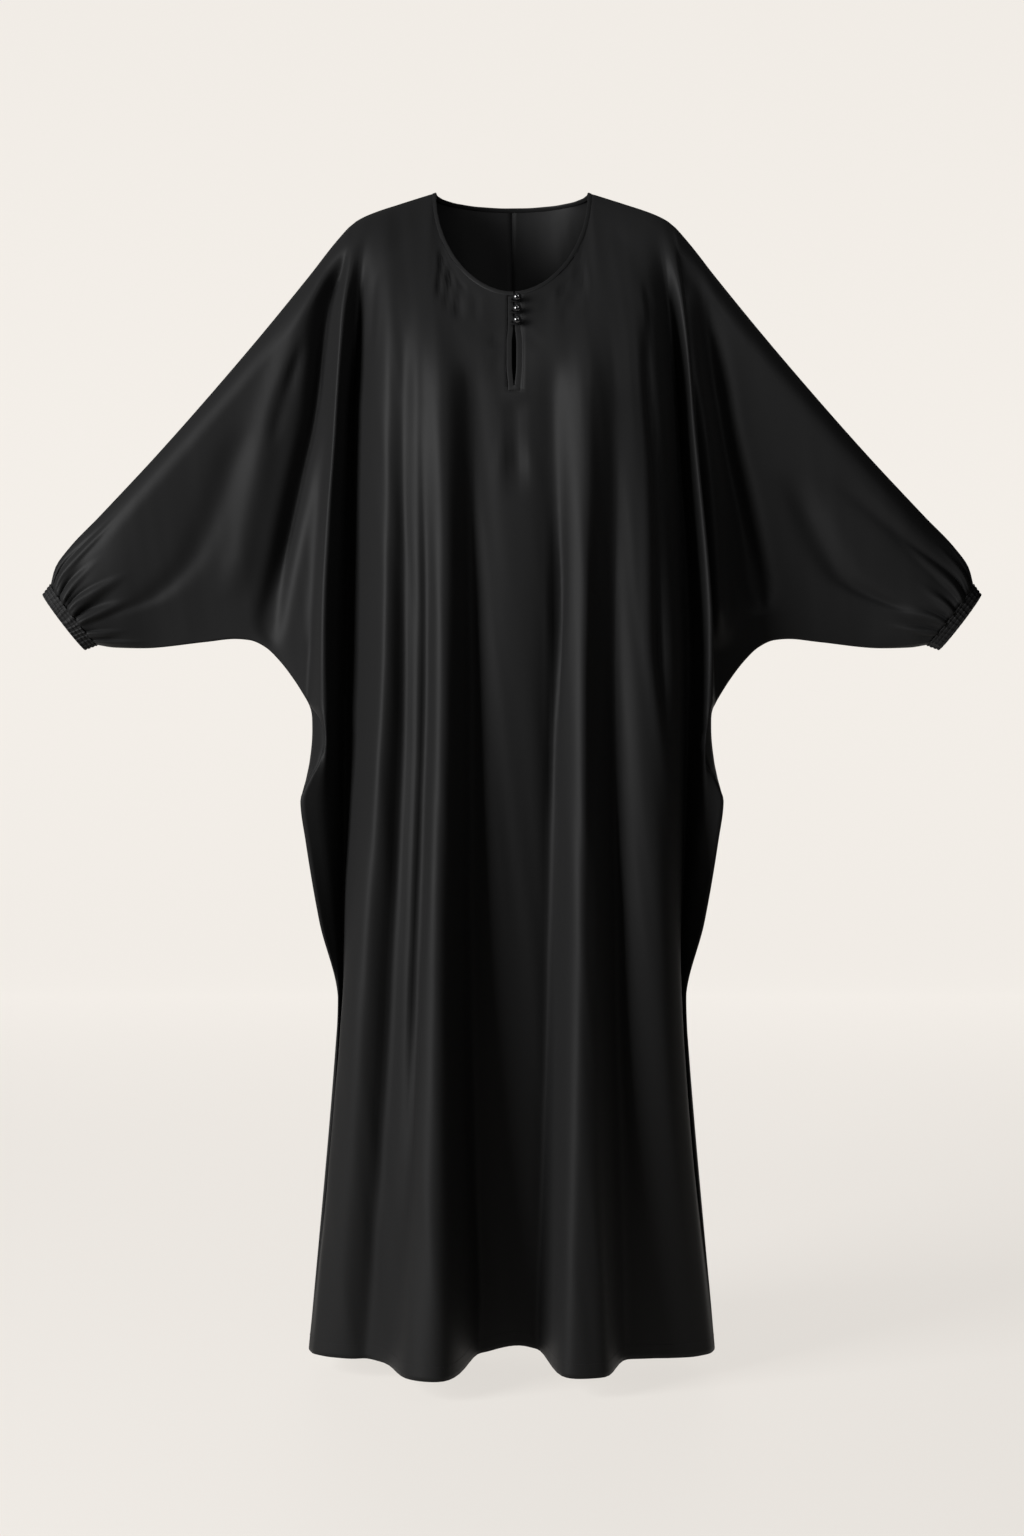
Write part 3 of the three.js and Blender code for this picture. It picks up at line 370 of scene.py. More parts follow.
def down_at(z):
    """How far down a height is: 0 at the shoulder or the neck, 1 at the bust and 2 at the hem."""
    return 1 + (BUST_Z - z) / (BUST_Z - HEM_Z)


def height_at(down):
    """The height at a place down the body, on the scale of down_at, from the bust on."""
    return BUST_Z - (down - 1) * (BUST_Z - HEM_Z)


CORNER_DOWN = down_at(CORNER_Z)


def neck_curve(share, widen, face):
    """The neck edge from the neck point, at 0, to the centre, at 1, moved out into the cloth by widen."""
    angle = np.asarray(share, float) * math.pi / 2
    front = face < 0
    power = 2 / NECK_ROUNDNESS if front else 1
    drop = np.sin(angle) ** power
    deeper, lower = NECK_WIDENING[face]
    depth = (NECK_FRONT_DEPTH if front else NECK_BACK_DEPTH) + deeper * widen
    fall = (NECK_FRONT_DROP if front else NECK_BACK_DROP) + lower * widen
    x = (NECK_HALF_WIDTH + widen) * np.clip(np.cos(angle), 0, 1) ** power
    return points(x, face * depth * drop, NECK_POINT_Z - NECK_POINT_FALL * widen - fall * drop)


def neck_share_at(x, widen):
    """The share of the front neck curve where it is x from the centre."""
    return math.acos((abs(x) / (NECK_HALF_WIDTH + widen)) ** (NECK_ROUNDNESS / 2)) / (math.pi / 2)


def top_edge(top, side, face):
    """The point where a fold line starts: on the neck if its top is 0 or less, else on the shoulder line."""
    if top <= 0:
        return neck_curve(-top, PANEL_INSET, face) * (side, 1, 1)
    x, z = overarm.at(PANEL_INSET + top * (1 - PANEL_INSET / overarm.total))
    return points(side * x, 0, z)


def sleeve_share(down):
    """The share of the way down the sleeve's inner end, for the panel's rows."""
    z = np.where(down < 1, mix(SLEEVE_TOP_Z, BUST_Z, down), height_at(down))
    return (SLEEVE_TOP_Z - z) / (SLEEVE_TOP_Z - CORNER_Z)


def fold_height(x, z, side, face):
    """How far the sleeve's main folds stand out."""
    outside, inside = FOLD_ENDS
    height = np.zeros_like(x)
    for fold in SLEEVE_FOLDS[face, side]:
        low, high = fold.z[-1], fold.z[0]
        reach = np.clip(z, low, high)
        away = np.hypot(x - through(fold.z, fold.x, reach), z - reach) / fold.width
        ends = smooth(low - outside, low + inside, z) * smooth(high + outside, high - inside, z)
        height += fold.height * np.exp(-away * away) * ends
    return height


def sleeve_points(along, share, side, face):
    """The cloth round the arm: along from the shoulder to the cuff, share from the overarm down."""
    top_x, top_z = overarm.at(mix(SLEEVE_START, overarm.total, along))
    low_x, low_z = underarm.at(along * underarm.total)
    x, z = mix(top_x, low_x, share), mix(top_z, low_z, share)
    length = np.hypot(low_x - top_x, low_z - top_z)
    arm = mix(ARM_HALF_DEPTH, CUFF_HALF_DEPTH + WRIST_EASE, along)
    below = share * length
    around = rounded(np.clip(below / (ARM_ROUNDING * arm), 0, 1))
    tapered = TAPER_FROM * arm
    fallen = np.clip((below - tapered) / max(1.0, length - tapered), 0, 1) ** TAPER_POWER
    taper = mix(1, TAPER_LEFT, fallen)
    tube = CUFF_HALF_DEPTH * np.sqrt(np.clip(1 - (2 * share - 1) ** 2, 0, 1))
    depth = mix(arm * around * taper, tube, smooth(TUBE_FROM, 1, along))
    edges = smooth(0, FOLD_EDGES[0], share) * smooth(1, FOLD_EDGES[1], share)
    depth = depth + edges * fold_height(x, z, side, face) * smooth(1, FOLDS_UNTIL, along)
    turn = np.arccos(np.clip(1 - 2 * share, -1, 1)) / math.pi
    depth = depth + gathers(turn, along, side, face)
    return points(side * x, face * np.maximum(0, depth), z)


def gathers(turn, along, side, face):
    """The gathers into the cuff: regular in number, uneven in place, length and height."""
    phase = 1.3 * side + 0.7 * face
    wander = waves(turn, (0.07, 2.3, phase), (0.05, 5.1, 2 * phase))
    start = GATHERED_FROM + waves(turn, (0.05, 3.2, phase), (0.03, 7.7, 0))
    held = mix(1, GATHERS_AT_CUFF, smooth(GATHERED_FULLY, 1, along))
    grown = smooth(0, 1, (along - start) / GATHERS_GROW_OVER) * held
    wave = np.cos(2 * math.pi * (GATHERS_PER_SIDE * turn + wander))
    puckers = np.cos(2 * math.pi * (PUCKERS_PER_GATHER * GATHERS_PER_SIDE * turn + 3 * wander))
    height = GATHER_HEIGHT * wave + PUCKER_HEIGHT * puckers * smooth(0.9, 0.99, along)
    return np.sin(math.pi * turn) * height * grown


def down_table(table, column, z):
    """A column of a table of the side, at any height."""
    return through([row.z for row in table], [getattr(row, column) for row in table], z)


def side_points(down, side, face):
    """The side of a panel: next to the sleeve above the side corner, and the side seam below it."""
    z = height_at(down)
    seam = points(side * down_table(SIDE, "seam_x", z), down_table(SIDE, "seam_y", z), z)
    sleeve = sleeve_points(0.0, sleeve_share(down), side, face)
    closing = smooth(CORNER_DOWN - UNDERARM_CLOSING, CORNER_DOWN, down)
    sleeve[..., 1] = mix(sleeve[..., 1], SIDE[0].seam_y, closing)
    return np.where((down >= CORNER_DOWN)[..., None], seam, sleeve)


def edge_points(down, side):
    """The outer edge of the back, where its cloth turns round to the side."""
    z = np.where(down < 1, BUST_Z, height_at(down))
    x = side * down_table(EDGE, "edge_x", z)
    y = down_table(EDGE, "edge_y", z)
    top = top_edge(EDGE_TOP, side, 1)
    part = np.clip(down, 0, 1)
    upper = points(mix(top[0], x, part), mix(top[1], y, rounded(part)), mix(top[2], z, part))
    return np.where((down >= 1)[..., None], points(x, y, z), upper)


def fold_points(fold, down, face):
    """A fold line of the body from the shoulder or the neck down to the hem."""
    z = height_at(down)
    lower = points(through(STATION_Z, fold.x, z), through(STATION_Z, fold.y, z), z)
    part = np.clip(down, 0, 1)
    top = top_edge(fold.top, fold.side, face)
    across = min(0.99, (abs(fold.x[0]) / CHEST_HALF_WIDTH) ** CHEST_ROUNDNESS)
    chest = face * (BUST_DEPTH if face < 0 else BLADE_DEPTH) * math.sqrt(1 - across)
    if face < 0:
        under_neck = float(smooth(NECK_SLOPE_REACH, 0, fold.top))
    else:
        under_neck = min(1.0, max(0.0, -2 * fold.top))
    eased = mix(rounded(part), np.sin(part * math.pi / 2), under_neck)
    y = mix(top[1], chest, eased) + (fold.y[0] - chest) * smooth(fold.start, 1, part)
    upper = points(mix(top[0], fold.x[0], part ** CHEST_SPREAD), y, mix(top[2], BUST_Z, part))
    return np.where((down >= 1)[..., None], lower, upper)


def slit_edge_x(z, side, inset):
    """Where an edge of the open slit is, or the line that lies inset from it."""
    return SLIT_X + side * (through(SLIT_Z, SLIT_HALF_GAP, z) + inset)


NECK_Z = float(neck_curve(1, PANEL_INSET, -1)[2])


def slit_points(fold, down, inset):
    """A line beside the slit, which goes over into the fold line below it."""
    part = np.clip(down, 0, 1)
    z = mix(NECK_Z, BUST_Z, part)
    x = slit_edge_x(z, fold.side, inset)
    share = np.array([neck_share_at(v, PANEL_INSET) for v in np.atleast_1d(x)])
    top = neck_curve(share, PANEL_INSET, -1)
    y = mix(top[..., 1], fold.y[0], np.sin(part * math.pi / 2))
    upper = points(mix(x, fold.x[0], smooth(SLOT_END, 1, part)), y, mix(top[..., 2], BUST_Z, part))
    return np.where((down >= 1)[..., None], fold_points(fold, np.maximum(down, 1), -1), upper)


def slopes_across(folds, station, face):
    """The slopes on either side of each fold line: level on a ridge, and steep beside a dip."""
    height = [face * fold.y[station] for fold in folds]
    width = [max(1.0, abs(a.x[station] - b.x[station])) for a, b in zip(folds, folds[1:])]
    rise = [(b - a) / w for a, b, w in zip(height, height[1:], width)]
    before, after = [rise[0]], [rise[0]]
    for fold, left, right in zip(folds[1:], rise, rise[1:]):
        steepness = 1.0 if fold.name == "valley" else DIP_STEEPNESS[station]
        if left < 0 < right:
            pair = (steepness * left, steepness * right)
        elif left * right > 0:
            pair = (2 * left * right / (left + right),) * 2
        else:
            pair = (0.0, 0.0)
        before.append(pair[0])
        after.append(pair[1])
    before.append(rise[-1])
    after.append(rise[-1])
    return before, after, width


def fold_between(folds, k, share, face, slopes):
    """The fold line at a share of the way from one line of a table to the next."""
    first, second = folds[k], folds[k + 1]
    eased = share * share * (3 - 2 * share)
    y = []
    for station, (before, after, width) in enumerate(slopes):
        out = share * (1 - share) ** 2 * after[k] - share**2 * (1 - share) * before[k + 1]
        y.append(mix(first.y[station], second.y[station], eased) + face * width[k] * out)
    return Fold(
        "",
        first.side,
        mix(first.top, second.top, share),
        mix(first.start, second.start, share),
        tuple(mix(a, b, share) for a, b in zip(first.x, second.x)),
        tuple(y),
    )


def rows():
    """The rows of every panel, with one at the slot's end and one at the side corner."""
    chest = 1 - np.cos(np.linspace(0, math.pi / 2, CHEST_STEPS))
    upper = np.linspace(1, CORNER_DOWN, int((BUST_Z - CORNER_Z) / BODY_STEP) + 1)[1:]
    lower = np.linspace(CORNER_DOWN, 2, int((CORNER_Z - HEM_Z) / BODY_STEP) + 1)[1:]
    chest[np.argmin(abs(chest - SLOT_END))] = SLOT_END
    return np.concatenate((chest, upper, lower))


DOWN = rows()
SLEEVE_ROWS = int(np.sum(DOWN <= CORNER_DOWN + 1e-9))


def slit_step(fold):
    """How much further back the slit's edge is than the chest there; the cloth next to it takes this up."""
    return slit_points(fold, DOWN, SLOT_INSET)[:, 1] - fold_points(fold, DOWN, -1)[:, 1]


def fold_columns(folds, face):
    """The columns of points at and between the folds of a table, with a mark on the two beside the slit."""
    columns, slit = [], []
    slopes = [slopes_across(folds, station, face) for station in range(len(STATION_Z))]
    for k, fold in enumerate(folds):
        last = k == len(folds) - 1
        gap = 0 if last else max(abs(a - b) for a, b in zip(fold.x, folds[k + 1].x))
        beside = not last and fold.name == "slit" and folds[k + 1].name == "slit"
        steps = 1 if last or beside else max(2, round(gap / ACROSS_STEP))
        for n in range(steps):
            if n == 0 and fold.name == "slit":
                slit.append(len(columns))
                columns.append(slit_points(fold, DOWN, SLOT_INSET))
                continue
            share = n / steps
            mixed = fold if n == 0 else fold_between(folds, k, share, face, slopes)
            column = fold_points(mixed, DOWN, face)
            if not last and fold.name == "slit":
                column[:, 1] += slit_step(fold) * smooth(1, 0, share)
            elif not last and folds[k + 1].name == "slit":
                column[:, 1] += slit_step(folds[k + 1]) * smooth(0, 1, share)
            columns.append(column)
    return columns, slit


def linear_columns(first, second, steps):
    """The columns between two, in straight steps."""
    return [mix(first, second, n / steps) for n in range(1, steps)]


def sleeve_columns(side, face):
    """The sleeve from next to the shoulder line to the cuff, in the rows above the side corner."""
    columns = []
    for along in np.linspace(0, 1, SLEEVE_STEPS + 1)[1:]:
        column = np.full((len(DOWN), 3), np.nan)
        column[:SLEEVE_ROWS] = sleeve_points(along, sleeve_share(DOWN[:SLEEVE_ROWS]), side, face)
        columns.append(column)
    return columns


def neighbours(grid, axis):
    """The points next to each point of a grid, ahead and behind, or the point itself where there is none."""
    number = np.arange(grid.shape[axis])
    ahead = np.take(grid, np.minimum(number + 1, number[-1]), axis)
    behind = np.take(grid, np.maximum(number - 1, 0), axis)
    return [np.where(np.isnan(near), grid, near) for near in (ahead, behind)]


def grid_normals(grid):
    """Unit normals of the cloth, from the neighbours that are there."""
    normal = np.cross(np.subtract(*neighbours(grid, 1)), np.subtract(*neighbours(grid, 0)))
    size = np.linalg.norm(normal, axis=-1, keepdims=True)
    return normal / np.where(size > 1e-9, size, 1)


def relax(grid, keep):
    """Rounds off the cloth across its columns; keep says how much of each point's place is kept."""
    for _ in range(RELAX_PASSES):
        ahead, behind = neighbours(grid, 0)
        grid = mix((ahead + behind + 2 * grid) / 4, grid, keep[..., None])
    return grid


def crease_heights(grid):
    """How far the listed creases move each point along its normal."""
    x, z = grid[..., 0], grid[..., 2]
    height = np.zeros(x.shape)
    rng = np.random.default_rng(CREASE_SEED)
    rim_share, rim_at, rim_spread = CREASE_RIM
    for crease in CREASES:
        reach = np.hypot(crease.x[-1] - crease.x[0], crease.z[-1] - crease.z[0])
        t = np.linspace(0, 1, int(25 + reach / 3))
        knots = np.linspace(0, 1, len(crease.x))
        path_x = through(knots, crease.x, t)
        path_z = through(knots, crease.z, t)
        shift, rate = rng.uniform(0, 6.28, 2)
        beyond = CREASE_REACH * crease.width
        near = (x > path_x.min() - beyond) & (x < path_x.max() + beyond)
        near &= (z > path_z.min() - beyond) & (z < path_z.max() + beyond)
        if not near.any():
            continue
        gap = np.hypot(x[near][:, None] - path_x, z[near][:, None] - path_z)
        part = t[gap.argmin(axis=1)]
        uneven = 1 + CREASE_UNEVEN[0] * np.sin(9 * part + shift)
        wide = crease.width * (1 + CREASE_UNEVEN[1] * np.sin(7 * part + rate))
        away = gap.min(axis=1) / wide
        ends = smooth(0, CREASE_FULL[0], part) * smooth(1, CREASE_FULL[1], part)
        rim = rim_share * np.exp(-((away - rim_at) ** 2) / rim_spread)
        height[near] += crease.height * uneven * ends * (np.exp(-away * away) - rim)
    return height


def ripple(grid, face):
    """Long shallow waves of hanging cloth, stretched along its fall."""
    x, z = grid[..., 0], grid[..., 2]
    rng = np.random.default_rng(RIPPLE_SEEDS[face])
    height = np.zeros(x.shape)
    for wide, tall, size in RIPPLES:
        for _ in range(3):
            a, b, c = rng.uniform(0.75, 1.3, 3)
            shift, lean = rng.uniform(0, 6.28), rng.uniform(-0.5, 0.5)
            wave = np.sin(2 * math.pi * (a * x / wide + (b * z + lean * x) / tall) + shift)
            height += size * wave * (0.6 + 0.4 * np.sin(2 * math.pi * c * z / (2.3 * tall) + 2 * shift))
    return height * mix(1, RIPPLE_ON_SLEEVE, smooth(*RIPPLE_CALMS, abs(x)))


def new_mesh(name, places, faces):
    """A mesh of points in metres."""
    mesh = bpy.data.meshes.new(name)
    mesh.from_pydata(places.tolist(), [], faces)
    mesh.update()
    return mesh


def grid_mesh(name, grid, slot):
    """A mesh from a grid of points in millimetres, without its slot and the points that aren't numbers."""
    there = ~np.isnan(grid[..., 0])
    number = np.full(there.shape, -1)
    number[there] = np.arange(there.sum())
    square = np.stack([number[:-1, :-1], number[:-1, 1:], number[1:, 1:], number[1:, :-1]], axis=-1)
    keep = (square >= 0).all(axis=-1) & ~slot
    return new_mesh(name, grid[there] * MM, square[keep].tolist())


def add_object(name, mesh, material):
    """A smooth-shaded object in the scene."""
    piece = bpy.data.objects.new(name, mesh)
    bpy.context.scene.collection.objects.link(piece)
    mesh.materials.append(material)
    mesh.polygons.foreach_set("use_smooth", [True] * len(mesh.polygons))
    return piece


def apply_modifiers(piece):
    """Leaves the piece a plain mesh with what its modifiers made."""
    graph = bpy.context.evaluated_depsgraph_get()
    made = bpy.data.meshes.new_from_object(piece.evaluated_get(graph))
    made.name = piece.data.name
    piece.modifiers.clear()
    piece.data = made


def thicken(piece, thickness):
    """Gives a shell its other side, behind its outer face."""
    solid = piece.modifiers.new("wall", "SOLIDIFY")
    solid.thickness = thickness * MM
    solid.offset = -1
    solid.use_even_offset = False
    apply_modifiers(piece)


def look_out(mesh, outward):
    """Turns all faces over if most of them look inward; outward gives the way out at a place."""
    if sum(face.area * face.normal.dot(outward(face.center)) for face in mesh.polygons) < 0:
        mesh.flip_normals()


def panel_grid(side, face):
    """The grid of one panel: columns from one side to the other, and the two columns beside the slit."""
    steps = SIDE_STEPS[face]
    if face < 0:
        folds, slit = fold_columns(FRONT_FOLDS, face)
        right, left = side_points(DOWN, -1, face), side_points(DOWN, 1, face)
        body = [right, *linear_columns(right, folds[0], steps), *folds]
        body += [*linear_columns(folds[-1], left, steps), left]
        before = sleeve_columns(-1, face)[::-1]
        columns = [*before, *body, *sleeve_columns(1, face)]
        marks = [len(before) + steps + k for k in slit]
    else:
        folds, _ = fold_columns(BACK_FOLDS[side], face)
        seam, edge = side_points(DOWN, side, face), edge_points(DOWN, side)
        body = [seam, *linear_columns(seam, edge, steps), edge]
        body += [*linear_columns(edge, folds[0], steps), *folds]
        columns = [*sleeve_columns(side, face)[::-1], *body]
        marks = []
    return np.array(columns), marks


def near_seams(grid, marks):
    """1 at the seams and open edges of a panel's grid, easing to 0 a little way in."""
    there = ~np.isnan(grid[..., 0])
    held = np.tile(1 - smooth(0, HELD_AT_TOP, DOWN), (len(there), 1))
    in_sleeve = ~there[:, -1]
    beside = DOWN <= 1
    below = slice(SLEEVE_ROWS - 1, None)
    for step in range(SEAM_STEPS):
        edges = [(step, slice(None)), (len(there) - 1 - step, slice(None))]
        edges.append((in_sleeve, SLEEVE_ROWS - 1 - step))
        for column in np.flatnonzero(np.diff(there[:, -1].astype(int)) != 0):
            edges.append((column + 1 + step if there[column + 1, -1] else column - step, below))
        if marks:
            edges += [(marks[0] - step, beside), (marks[1] + step, beside)]
        for edge in edges:
            held[edge] = np.maximum(held[edge], 1 - step / SEAM_STEPS)
    return held


# The lines of stitching on each panel, by its name
sewn_lines = {}


def stitch_lines(grid, normal, marks):
    """The lines of stitching on a panel, with its normals there: round the hem and round the slit."""
    there = ~np.isnan(grid[:, -1, 0])
    lines = [(grid[there, -HEM_STITCH_ROWS], normal[there, -HEM_STITCH_ROWS])]
    if marks:
        beside = (DOWN > 0.05) & (DOWN <= SLOT_END)
        for mark, step in zip(marks, (-1, 1)):
            path = mix(grid[mark, beside], grid[mark + step, beside], SLIT_STITCH_SHARE)
            lines.append((path, normal[mark + step, beside]))
    return lines


def panel(name, side, face, material):
    """One cut piece of cloth: the front, with side 0, or a half of the back."""
    grid, marks = panel_grid(side, face)
    held = near_seams(grid, marks)
    grid = relax(grid, held)
    normal = grid_normals(grid)
    if np.nansum(normal[..., 1]) * face < 0:
        normal = -normal
    height = ripple(grid, face)
    if face < 0:
        height += crease_heights(grid)
    free = 1 - held
    grid = grid + normal * (height * free + CLOTH / 2)[..., None]
    if face < 0:
        centre = np.exp(-(((grid[..., 0] - HEM_RISE_X) / HEM_RISE_HALF_WIDTH) ** 2))
        grid[..., 2] += HEM_RISE * centre * smooth(HEM_RISE_FROM, HEM_Z, grid[..., 2])
    slot = np.zeros((len(grid) - 1, len(DOWN) - 1), bool)
    if marks:
        slot[marks[0], DOWN[1:] <= SLOT_END + 1e-9] = True
    part_front_and_back(grid, face)
    sewn_lines[name] = stitch_lines(grid, normal, marks)
    mesh = grid_mesh(name, grid, slot)
    look_out(mesh, lambda place: mathutils.Vector((0, face, 0)))
    piece = add_object(name, mesh, material)
    thicken(piece, SHELL)
    return piece


def part_front_and_back(grid, face):
    """Keeps front and back each on their own side of the seams between them."""
    on_shoulder = abs(grid[:, 0, 0]) > NECK_HALF_WIDTH + PANEL_INSET - 0.5
    in_sleeve = np.isnan(grid[:, -1, 0])
    seams = ((on_shoulder, 0, SEAM_GAP / 2), (in_sleeve, SLEEVE_ROWS - 1, UNDERARM_HALF_GAP))
    for columns, row, half_gap in seams:
        grid[columns, row, 1] = face * np.maximum(face * grid[columns, row, 1], half_gap)


def unit(vectors):
    """Vectors of length 1."""
    return vectors / np.maximum(np.linalg.norm(vectors, axis=-1, keepdims=True), 1e-12)


def along_path(path):
    """Unit directions along a path of points."""
    return unit(np.gradient(path, axis=0))


def measured(path):
    """The length of a path up to each of its points."""
    return np.concatenate(([0], np.cumsum(np.linalg.norm(np.diff(path, axis=0), axis=1))))


def circles(path, radius, side, up, angle):
    """Rings round the points of a path, in the planes of side and up."""
    round_it = side[:, None] * np.cos(angle)[None, :, None] + up[:, None] * np.sin(angle)[None, :, None]
    return path[:, None] + radius * round_it


def joined(number):
    """The faces between rings of numbered points."""
    ahead = np.roll(number, -1, axis=1)
    return np.stack([number[:-1], ahead[:-1], ahead[1:], number[1:]], axis=-1).reshape(-1, 4).tolist()


def swept(rings):
    """Points and faces of rings joined one to the next, with a cap at each end."""
    count, sides = rings.shape[:2]
    number = np.arange(count * sides).reshape(count, sides)
    faces = joined(number) + [number[0][::-1].tolist(), number[-1].tolist()]
    return rings.reshape(-1, 3), faces


def mesh_of(name, parts):
    """One mesh, in metres, of several (points, faces) in millimetres."""
    places, faces, start = [], [], 0
    for part_points, part_faces in parts:
        places.append(part_points)
        faces += [[start + k for k in face] for face in part_faces]
        start += len(part_points)
    mesh = new_mesh(name, np.concatenate(places) * MM, faces)
    build = bmesh.new()
    build.from_mesh(mesh)
    bmesh.ops.recalc_face_normals(build, faces=build.faces)
    build.to_mesh(mesh)
    build.free()
    return mesh


def add_piece(name, parts, material):
    """An object with one mesh of several (points, faces)."""
    return add_object(name, mesh_of(name, parts), material)


def round_circle(count):
    """Angles evenly round a circle."""
    return np.linspace(0, 2 * math.pi, count, endpoint=False)


def rounded_strip(middle, half_width, normal, thickness):
    """A strip along a path whose section is a flat rounded one: folded cloth."""
    angle = round_circle(16)
    across = np.sign(np.cos(angle)) * abs(np.cos(angle)) ** STRIP_SQUARENESS[0]
    up = np.sign(np.sin(angle)) * abs(np.sin(angle)) ** STRIP_SQUARENESS[1]
    rings = (
        middle[:, None]
        + half_width[:, None] * across[None, :, None]
        + normal[:, None] * up[None, :, None] * thickness / 2
    )
    return swept(rings)


def twisted_cord(path):
    """A cord along a path, with the grooves of its twisted strands."""
    direction = along_path(path)
    side = unit(np.cross(direction, (0.13, 0.98, 0.1)))
    up = np.cross(direction, side)
    angle = round_circle(12)
    twist = 2 * math.pi * LOOP_TWISTS_PER_MM * measured(path)
    grooves = 1 + LOOP_GROOVES * np.cos(LOOP_STRANDS * angle[None, :] + twist[:, None])
    return swept(circles(path, LOOP_RADIUS * grooves[..., None], side, up, angle))


def neck_points(u, widen, face):
    """Points on the whole neck: u is -1 and 1 at the neck points and 0 at the centre."""
    return neck_curve(1 - abs(u), widen, face) * points(np.where(u < 0, -1, 1), 1, 1)


def neck_at(x):
    """The place on the whole neck that is x from the centre of the front."""
    return math.copysign(1 - neck_share_at(x, PANEL_INSET), x)


def toward_neck(u, face):
    """Unit directions from the cloth to the open neck."""
    return unit(neck_points(u, 0, face) - neck_points(u, PANEL_INSET, face))


def neck_binding(material):
    """The binding from one edge of the slit round the neck to the other."""
    ends = [neck_at(float(slit_edge_x(NECK_Z, side, SEAM_GAP))) for side in (-1, 1)]
    ease = (1 - np.cos(np.linspace(0, math.pi, BINDING_STEPS))) / 2
    pieces = [(mix(ends[0], -1, ease), -1), (mix(-1, 1, ease)[1:], 1), (mix(1, ends[1], ease)[1:], -1)]
    inward = np.concatenate([toward_neck(u, face) for u, face in pieces])
    edge = np.concatenate([neck_points(u, PANEL_INSET, face) for u, face in pieces])
    middle = edge + inward * (BINDING_WIDTH - BINDING_LAP) / 2
    uneven = 1 + 0.04 * np.sin(np.arange(len(middle)) * 0.9)
    half = inward * ((BINDING_WIDTH + BINDING_LAP) / 2 * uneven)[:, None]
    normal = unit(np.cross(along_path(middle), inward))
    strip = rounded_strip(middle, half, normal, BINDING_THICKNESS)
    return add_piece("neck_binding_fine", [strip], material)


def slit_binding(material):
    """The binding down one edge of the slit, round its foot and up the other."""
    downs = np.linspace(SLIT_TOP, SLOT_END, 60)
    share = np.linspace(0, 1, 8)[1:-1, None]
    lines = []
    for inset in (SLOT_INSET + BINDING_LAP, 0):
        right, left = (slit_points(fold, downs, inset) for fold in FRONT_FOLDS if fold.name == "slit")
        lines.append(np.concatenate((right, mix(right[-1], left[-1], share), left[::-1])))
    outer, inner = lines
    inner[:, 2] = np.maximum(inner[:, 2], SLIT_Z[-1])
    middle = (outer + inner) / 2
    half = (outer - inner) / 2
    normal = unit(np.cross(along_path(middle), half))
    normal[normal[:, 1] > 0] *= -1
    strip = rounded_strip(middle, half, normal, SLIT_BINDING_THICKNESS)
    return add_piece("slit_binding_fine", [strip], material)


def cuff(side, material):
    """A gathered elastic cuff: uneven ruches over three rows of elastic, open right through."""
    top = np.array([side * OVERARM["x"][-1], 0, OVERARM["z"][-1]])
    low = np.array([side * UNDERARM["x"][-1], 0, UNDERARM["z"][-1]])
    axis = unit(np.array([side * (top[2] - low[2]), 0, side * (low[0] - top[0])]))
    centre = (top + low) / 2
    to_top = top - centre
    t = np.linspace(CUFF_FROM, 1, 27)[:, None, None]
    angle = round_circle(12 * CUFF_RIBS)[None, :, None]
    size = mix(1, CUFF_RIM_SHARE, t)
    ring = to_top * np.cos(angle) + np.array([0, -CUFF_HALF_DEPTH, 0]) * np.sin(angle)
    out = unit(
        unit(to_top) * np.cos(angle) * CUFF_HALF_DEPTH
        + np.array([0, -1, 0]) * np.sin(angle) * np.linalg.norm(to_top)
    )
    wander = 1.6 * np.sin(3 * angle + side) + 1.1 * np.sin(7 * angle + 2 * side)
    wander = wander + 0.5 * np.sin(5 * angle + 4 * t)
    ruche = np.cos(CUFF_RIBS * angle + wander)
    fine = np.cos(2.0 * CUFF_RIBS * angle + 2.3 * wander + 2 * t)
    pinch = sum(np.exp(-(((t - row) / ELASTIC_WIDTH) ** 2)) for row in ELASTIC_ROWS)
    puffed = CUFF_RUCHES[0] + CUFF_RUCHES[1] * ruche + CUFF_RUCHES[2] * fine
    height = CUFF_RIB_HEIGHT * puffed * (1 - CUFF_PINCH[0] * pinch) - CUFF_PINCH[1] * pinch
    grid = centre + axis * CUFF_LENGTH * t + ring * size + out * (CUFF_THICKNESS / 2 + height - 0.1)
    number = np.arange(grid.shape[0] * grid.shape[1]).reshape(grid.shape[:2])
    mesh = mesh_of("cuff", [(grid.reshape(-1, 3), joined(number))])
    look_out(mesh, lambda place: place - mathutils.Vector(centre * MM))
    piece = add_object(f"cuff_{'right' if side < 0 else 'left'}_fine", mesh, material)
    thicken(piece, CUFF_SHELL)
    return piece


def fastening_frame(number):
    """The middle of a button's foot and the axes there: across, out of the cloth, and down along it."""
    fold = [fold for fold in FRONT_FOLDS if fold.name == "slit"][1]
    z = FIRST_BUTTON_Z - (number - 1) * BUTTON_PITCH
    top_z = slit_points(fold, np.array([0.0]), 0)[0, 2]

    def cloth_y(height):
        return slit_points(fold, np.array([(height - top_z) / (BUST_Z - top_z)]), 0)[0, 1]

    rise = cloth_y(z + BUTTON_RADIUS) - cloth_y(z - BUTTON_RADIUS)
    lean = math.atan(rise / (2 * BUTTON_RADIUS))
    out = np.array([0, -math.cos(lean), math.sin(lean)])
    down = np.array([0, -math.sin(lean), -math.cos(lean)])
    foot = np.array([BUTTON_X, cloth_y(z), z]) + out * (SLIT_BINDING_THICKNESS / 2 + SEAM_GAP)
    return foot, np.stack([np.array([1.0, 0, 0]), out, down])


